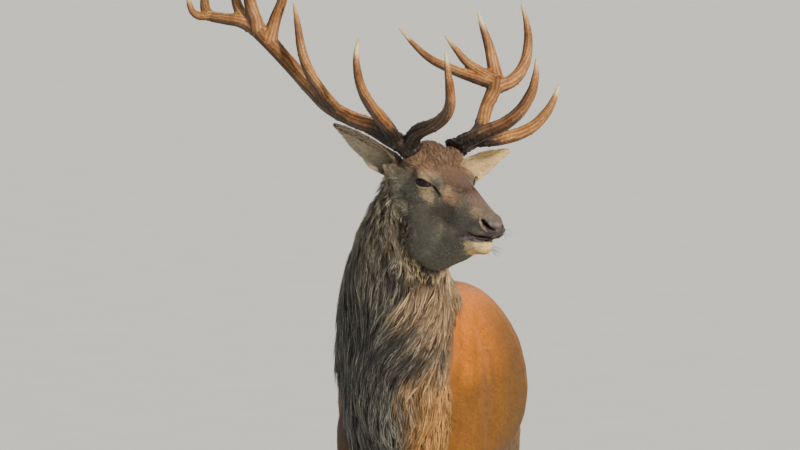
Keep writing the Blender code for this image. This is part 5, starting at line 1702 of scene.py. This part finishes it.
# %% The mane
def mane_length(points):
    h = to_head(points)
    s = points - FLOOR_SPOT
    behind = behind_neck(s)
    below_jaw = rise(-h[:, 2] + 0.5 * np.maximum(-h[:, 0] - 0.10, 0), 0.08, 0.28)
    at_throat = within(s[:, 2], 1.05, 1.32, 0.05)
    to_border = rise(regions(points)["mane"], 0.1, 0.9)
    at_side = rise(s[:, 1], 0.085, 0.13) * (1 - rise(s[:, 2], 1.24, 1.34))
    full = (0.040 + (0.068 + 0.050 * at_throat) * below_jaw) * (1 - 0.30 * behind)
    least = 0.35 + 0.45 * rise(-h[:, 2], 0.12, 0.19) * rise(h[:, 0], -0.14, -0.08)
    return full * (least + (1 - least) * to_border) * (1 - 0.55 * at_side)


def mane_lie(points):
    """The lie of the mane alone, so that its edge doesn't turn with the short coat beside it."""
    s = points - FLOOR_SPOT
    behind = behind_neck(s)
    at_jaw = within(s[:, 2], 1.13, 1.33, 0.04)
    inwards = rise(s[:, 1], 0.08, 0.13) * 0.15 + rise(s[:, 1], 0.05, 0.11) * at_jaw * 0.45
    sweep = throat_sweep(s)
    straight = np.column_stack([-0.06 - 0.55 * behind, -sweep - inwards, np.full(len(s), -1.0)])
    return unit(straight)


def mane_layer(name, pieces, guide_count, each, points, low, high, width, spread_out, gather, wave,
               finish_share):
    """Sows one layer of locks, between the shares low and high of the mane's depth."""
    roots = sow(guide_count, np.where(IS_EAR | (BARE > 0.3), 0, rise(SHARES["mane"], 0.25, 0.6)) * NOT_UNDER)
    inside = rise(regions(roots)["mane"], 0.45, 0.90)
    lengths = mane_length(roots) * chance.uniform(0.75, 1.2, len(roots))
    on_nape = rise(roots[:, 2], 1.24, 1.36)
    aside = roots[:, 1] - WITHERS[1]
    flatter = (1 - 0.55 * rise(aside, 0.06, 0.12) - 0.30 * rise(aside, 0.09, 0.13)) * (1 - 0.40 * on_nape)
    heights = coat_depth(roots) * flatter * chance.uniform(low, high, len(roots))
    lines, ups = guides(roots, lengths, points, heights, 0.13, mane_lie)
    hairs, hair_ups = clump(lines, ups, each, spread_out, gather, wave)
    widths = chance.uniform(0.7, 1.3, len(hairs)) * width * (1 - 0.20 * np.repeat(on_nape, each))
    tone = np.repeat(chance.normal(1, 0.12, guide_count), each) * chance.normal(1, 0.14, len(hairs))
    tone = tone.clip(0.55, 1.6)
    low_down = 1 - rise(hairs[:, 0, 2], 0.93, 1.02)
    in_pale_clump = np.repeat(chance.random(guide_count), each)
    bright = chance.random(len(hairs)) < 0.10 + 0.34 * in_pale_clump + 0.25 * low_down
    strong = chance.uniform(0.6, 1.0, len(hairs))
    faint = chance.uniform(0.0, 0.20, len(hairs))
    pale = finish_share * np.repeat(inside, each) * np.where(bright, strong, faint)
    for i, chosen in enumerate(np.array_split(np.arange(len(hairs)), pieces)):
        hair_mesh(f"{name}_{i + 1}", hairs[chosen], hair_ups[chosen], widths[chosen], MANE_HAIR,
                  root_shade=0.60, pale=pale[chosen], tone=tone[chosen])


mane_layer("mane_under", pieces=1, guide_count=1500, each=8, points=3, low=0.10, high=0.45,
           width=0.0050, spread_out=0.013, gather=0.3, wave=0.002, finish_share=0.15)
mane_layer("mane_locks", pieces=4, guide_count=2900, each=10, points=5, low=0.45, high=1.05,
           width=0.0020, spread_out=0.010, gather=0.62, wave=0.0048, finish_share=1.0)


# %% [markdown]
# The short coat of the body, the face and the legs is made the same way, only shorter, finer and flatter.
# The tufts there don't have to hide the skin, which has its own fine fur. They break up its surface and
# its outline.

# %% The short coat
def short_coat(name, pieces, guide_count, each, density, length, width, height, spread_out, finish,
               points=2, scatter=0.18, wave=0.0008, root_shade=0.6, varied=0.15, feather=0.003,
               pale_share=0.0, pale=1.0, flat=0.25):
    """Sows tufts by density. length and width give a size at each root, height a share of the depth."""
    roots = sow(guide_count, np.where(BARE > 0.25, 0, density))
    lengths = length(roots) * chance.uniform(0.75, 1.2, len(roots))
    heights = coat_depth(roots) * height * chance.uniform(0.4, 1.0, len(roots))
    lines, ups = guides(roots, lengths, points, heights, scatter, rising=0.7, sunk=0.0006)
    hairs, hair_ups = clump(lines, ups, each, spread_out, 0.35, wave)
    widths = width(hairs[:, 0]) * chance.uniform(0.7, 1.2, len(hairs))
    tone = np.repeat(chance.normal(1, varied, guide_count), each)
    tone = tone * chance.normal(1, 0.5 * varied, len(hairs))
    tone = tone.clip(0.6, 1.6) * np.where(np.repeat(chance.random(guide_count), each) < pale_share, 1.4, 1.0)
    stray = np.repeat(chance.normal(0, feather, (guide_count, 3)), each, axis=0)
    for i, chosen in enumerate(np.array_split(np.arange(len(hairs)), pieces)):
        piece_name = name if pieces == 1 else f"{name}_{i + 1}"
        hair_mesh(piece_name, hairs[chosen], hair_ups[chosen], widths[chosen], finish, flat,
                  root_shade, pale=pale, tone=tone[chosen], stray=stray[chosen], flat_lit=points < 4)


def even(size):
    """The same size at every root."""
    return lambda roots: np.full(len(roots), size)


def face_length(points):
    h = to_head(points)
    jaw = rise(-h[:, 2], 0.10, 0.19) * (1 - rise(h[:, 0], 0.06, 0.12))
    return 0.0130 + 0.006 * jaw - 0.0055 * rise(h[:, 0], 0.12, 0.18)


def face_width(points):
    return 0.0013 + 0.05 * (face_length(points) - 0.006)


off_mane = 1 - rise(SHARES["mane"], 0.02, 0.10)
on_body = np.where(IS_EAR, 0, rise(SHARES["body"] + 0.6 * SHARES["tail"], 0.1, 0.5) * off_mane)
short_coat("body_tufts", pieces=2, guide_count=19000, each=3, density=on_body, length=even(0.024),
           width=even(0.0017), height=0.28, spread_out=0.006, finish=BODY_HAIR,
           root_shade=0.95, varied=0.21, feather=0.010, pale=0.3, flat=0.14)
at = to_head(CENTRES)
folded = mirrored(at)
clear = rise(to_path(folded, GLAND_SLIT)[0], 0.008, 0.011) * rise(eye_opening(folded), 1.8, 2.2)
on_face = np.where(IS_EAR, 0, rise(SHARES["head"], 0.1, 0.5))
on_face = on_face * (1 + 2.0 * rise(at[:, 0], 0.10, 0.16)) * clear
short_coat("face_tufts", pieces=2, guide_count=12500, each=4, density=on_face, length=face_length,
           width=face_width, height=0.35, spread_out=0.0035, finish=FACE_HAIR,
           root_shade=0.9, varied=0.22, feather=0.0060, pale_share=0.13)
on_crown = on_face * rise(at[:, 2], 0.028, 0.050) * (1 - rise(at[:, 0], 0.005, 0.035))
short_coat("crown_tufts", pieces=1, guide_count=600, each=6, density=on_crown, length=even(0.021),
           width=even(0.0018), height=0.8, spread_out=0.005, finish=FACE_HAIR,
           points=4, scatter=0.40, wave=0.0022, root_shade=0.75, feather=0.006)
on_temple = on_face * (1 - rise(behind_cheek(at), 0.030, 0.058)) * (1 - rise(at[:, 2], 0.03, 0.06))
short_coat("temple_tufts", pieces=1, guide_count=900, each=6, density=on_temple, length=even(0.026),
           width=even(0.0019), height=1.3, spread_out=0.006, finish=FACE_HAIR,
           points=4, scatter=0.22, wave=0.0020, root_shade=0.8, varied=0.2, feather=0.008)
on_legs = np.where(IS_EAR, 0, rise(SHARES["legs"], 0.1, 0.5))
short_coat("leg_tufts", pieces=1, guide_count=4500, each=4, density=on_legs, length=even(0.014),
           width=even(0.0030), height=0.9, spread_out=0.006, finish=LEG_HAIR)
short_coat("tail_locks", pieces=1, guide_count=500, each=5, density=SHARES["tail"], length=even(0.055),
           width=even(0.0038), height=0.9, spread_out=0.008, finish=BODY_HAIR,
           points=3, scatter=0.1)


# %% [markdown]
# A deer's ears are edged and lined with longer, paler hairs, which grow outwards from the inside and stand
# past the rim. Those at the root spill forwards out of the cup.

# %% Hair of the ears
def ear_lie(points):
    """Along the ear, and outwards to its nearer margin."""
    h = to_head(points)
    flow = np.zeros((len(points), 3))
    for side, mask in (("left", h[:, 1] > 0), ("right", h[:, 1] <= 0)):
        root, _, along, facing, across = ear_axes(side)
        aside = (h - root) @ across
        here = along + across * np.clip(aside / 0.030, -1, 1)[:, None] * 0.75 + facing * 0.25
        flow = np.where(mask[:, None], here, flow)
    return unit(flow @ TURN.T)


def ear_coat(name, guide_count, each, inner, low, high, width, at_root=False):
    open_side = ear_share(CENTRES)[1]
    towards = np.sum((FLAT_FACING @ TURN) * open_side, axis=1)
    place = np.where(towards > 0 if inner else towards <= 0, 1.0, 0.0)
    if at_root:
        place = place * (1 - rise(ear_share(CENTRES)[2], 0.16, 0.30))
    roots = sow(guide_count, IS_EAR * place)
    lengths = chance.uniform(low, high, len(roots))
    heights = chance.uniform(0.0008, 0.0045 if inner else 0.0022, len(roots))
    lines, ups = guides(roots, lengths, 3, heights, 0.2, ear_lie, 0.8)
    hairs, hair_ups = clump(lines, ups, each, 0.004, 0.4, 0.001)
    widths = chance.uniform(0.7, 1.2, len(hairs)) * width
    hair_mesh(name, hairs, hair_ups, widths, FACE_HAIR, 0.25, 0.9, flat_lit=True)


ear_coat("ear_lining", guide_count=900, each=4, inner=True, low=0.012, high=0.022, width=0.0016)
ear_coat("ear_root_locks", guide_count=150, each=4, inner=True, low=0.026, high=0.040, width=0.0018,
         at_root=True)
ear_coat("ear_backs", guide_count=500, each=3, inner=False, low=0.007, high=0.011, width=0.0013)


# %% [markdown]
# Whiskers and lashes are single stiff hairs. They are few, but they catch the light on the muzzle and
# round the eyes.

# %% Whiskers and lashes
WHISKERS = 34  # a side


def bristles(name, roots, aims, lengths, width):
    """Stiff curved hairs from the roots, all in the head's directions, mirrored to both sides."""
    both = np.vstack([roots, roots * (1, -1, 1)])
    aims = unit(np.vstack([aims, aims * (1, -1, 1)]))
    lengths = np.tile(lengths, 2)[:, None]
    paths = [both - aims * 0.002]
    for share in (0.33, 0.67, 1.0):
        paths.append(both + aims * lengths * share - np.array((0, 0, 0.16)) * lengths * share ** 2)
    paths = from_head(np.stack(paths, axis=1).reshape(-1, 3)).reshape(len(both), 4, 3)
    along = unit(np.gradient(paths, axis=1))[:, 1]
    ups = np.repeat(unit(np.cross(along, (0.3, 0.2, 1.0)))[:, None], 4, axis=1)
    hair_mesh(name, paths, ups, np.full(len(both), width), LASH_HAIR, pale=0.0)


LASH_HAIR, tree, shader = new_material("whiskers_and_lashes")
stiff = noise(tree, object_points(tree), 300)
tree.links.new(mixed(tree, stiff, (0.004, 0.003, 0.003), (0.030, 0.022, 0.017)), shader.inputs["Base Color"])
tree.links.new(spread(tree, stiff, 0, 1, 0.35, 0.6), shader.inputs["Roughness"])
turns = np.linspace(-1.0, 1.0, 30)
rim = []
for t in turns * 0.94:
    lid = UPPER_LID_HEIGHT * (1 - abs(t) ** 1.7) ** (1 / 1.7) + 0.0012
    rim.append(EYE_ALONG * OPENING_HALF_LENGTH * t + EYE_UP * lid)
rim = np.array([p + EYE_OUT * np.sqrt((EYE_RADIUS + 0.0026) ** 2 - p @ p) for p in rim]) + EYE_CENTRE
lash_aims = np.array([EYE_OUT * 1.0 + EYE_UP * 0.25 + EYE_ALONG * 0.35 * t for t in turns])
bristles("lashes", rim, lash_aims, chance.uniform(0.007, 0.010, len(rim)), 0.0007)
muzzle = mirrored(to_head(SKIN_POINTS[:SKULL_POINTS]))
on_lip = (muzzle[:, 0] > 0.135) & (muzzle[:, 0] < 0.215) & (muzzle[:, 2] < -0.070) & (muzzle[:, 2] > -0.145)
spots = muzzle[on_lip & (muzzle[:, 1] > 0.012) & (bare[:SKULL_POINTS] < 0.2)]
spots = spots[chance.choice(len(spots), WHISKERS, replace=False)]
whisker_aims = np.column_stack([chance.uniform(-0.1, 0.5, WHISKERS), chance.uniform(0.7, 1.0, WHISKERS),
                                chance.uniform(-0.6, 0.0, WHISKERS)])
bristles("whiskers", spots, whisker_aims, chance.uniform(0.018, 0.038, WHISKERS), 0.0006)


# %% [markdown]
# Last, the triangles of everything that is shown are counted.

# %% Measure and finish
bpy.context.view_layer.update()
shown = [obj for obj in bpy.data.objects if obj.type == "MESH" and not obj.hide_render]
print("in all", sum(faces_of(obj) for obj in shown), "triangles")
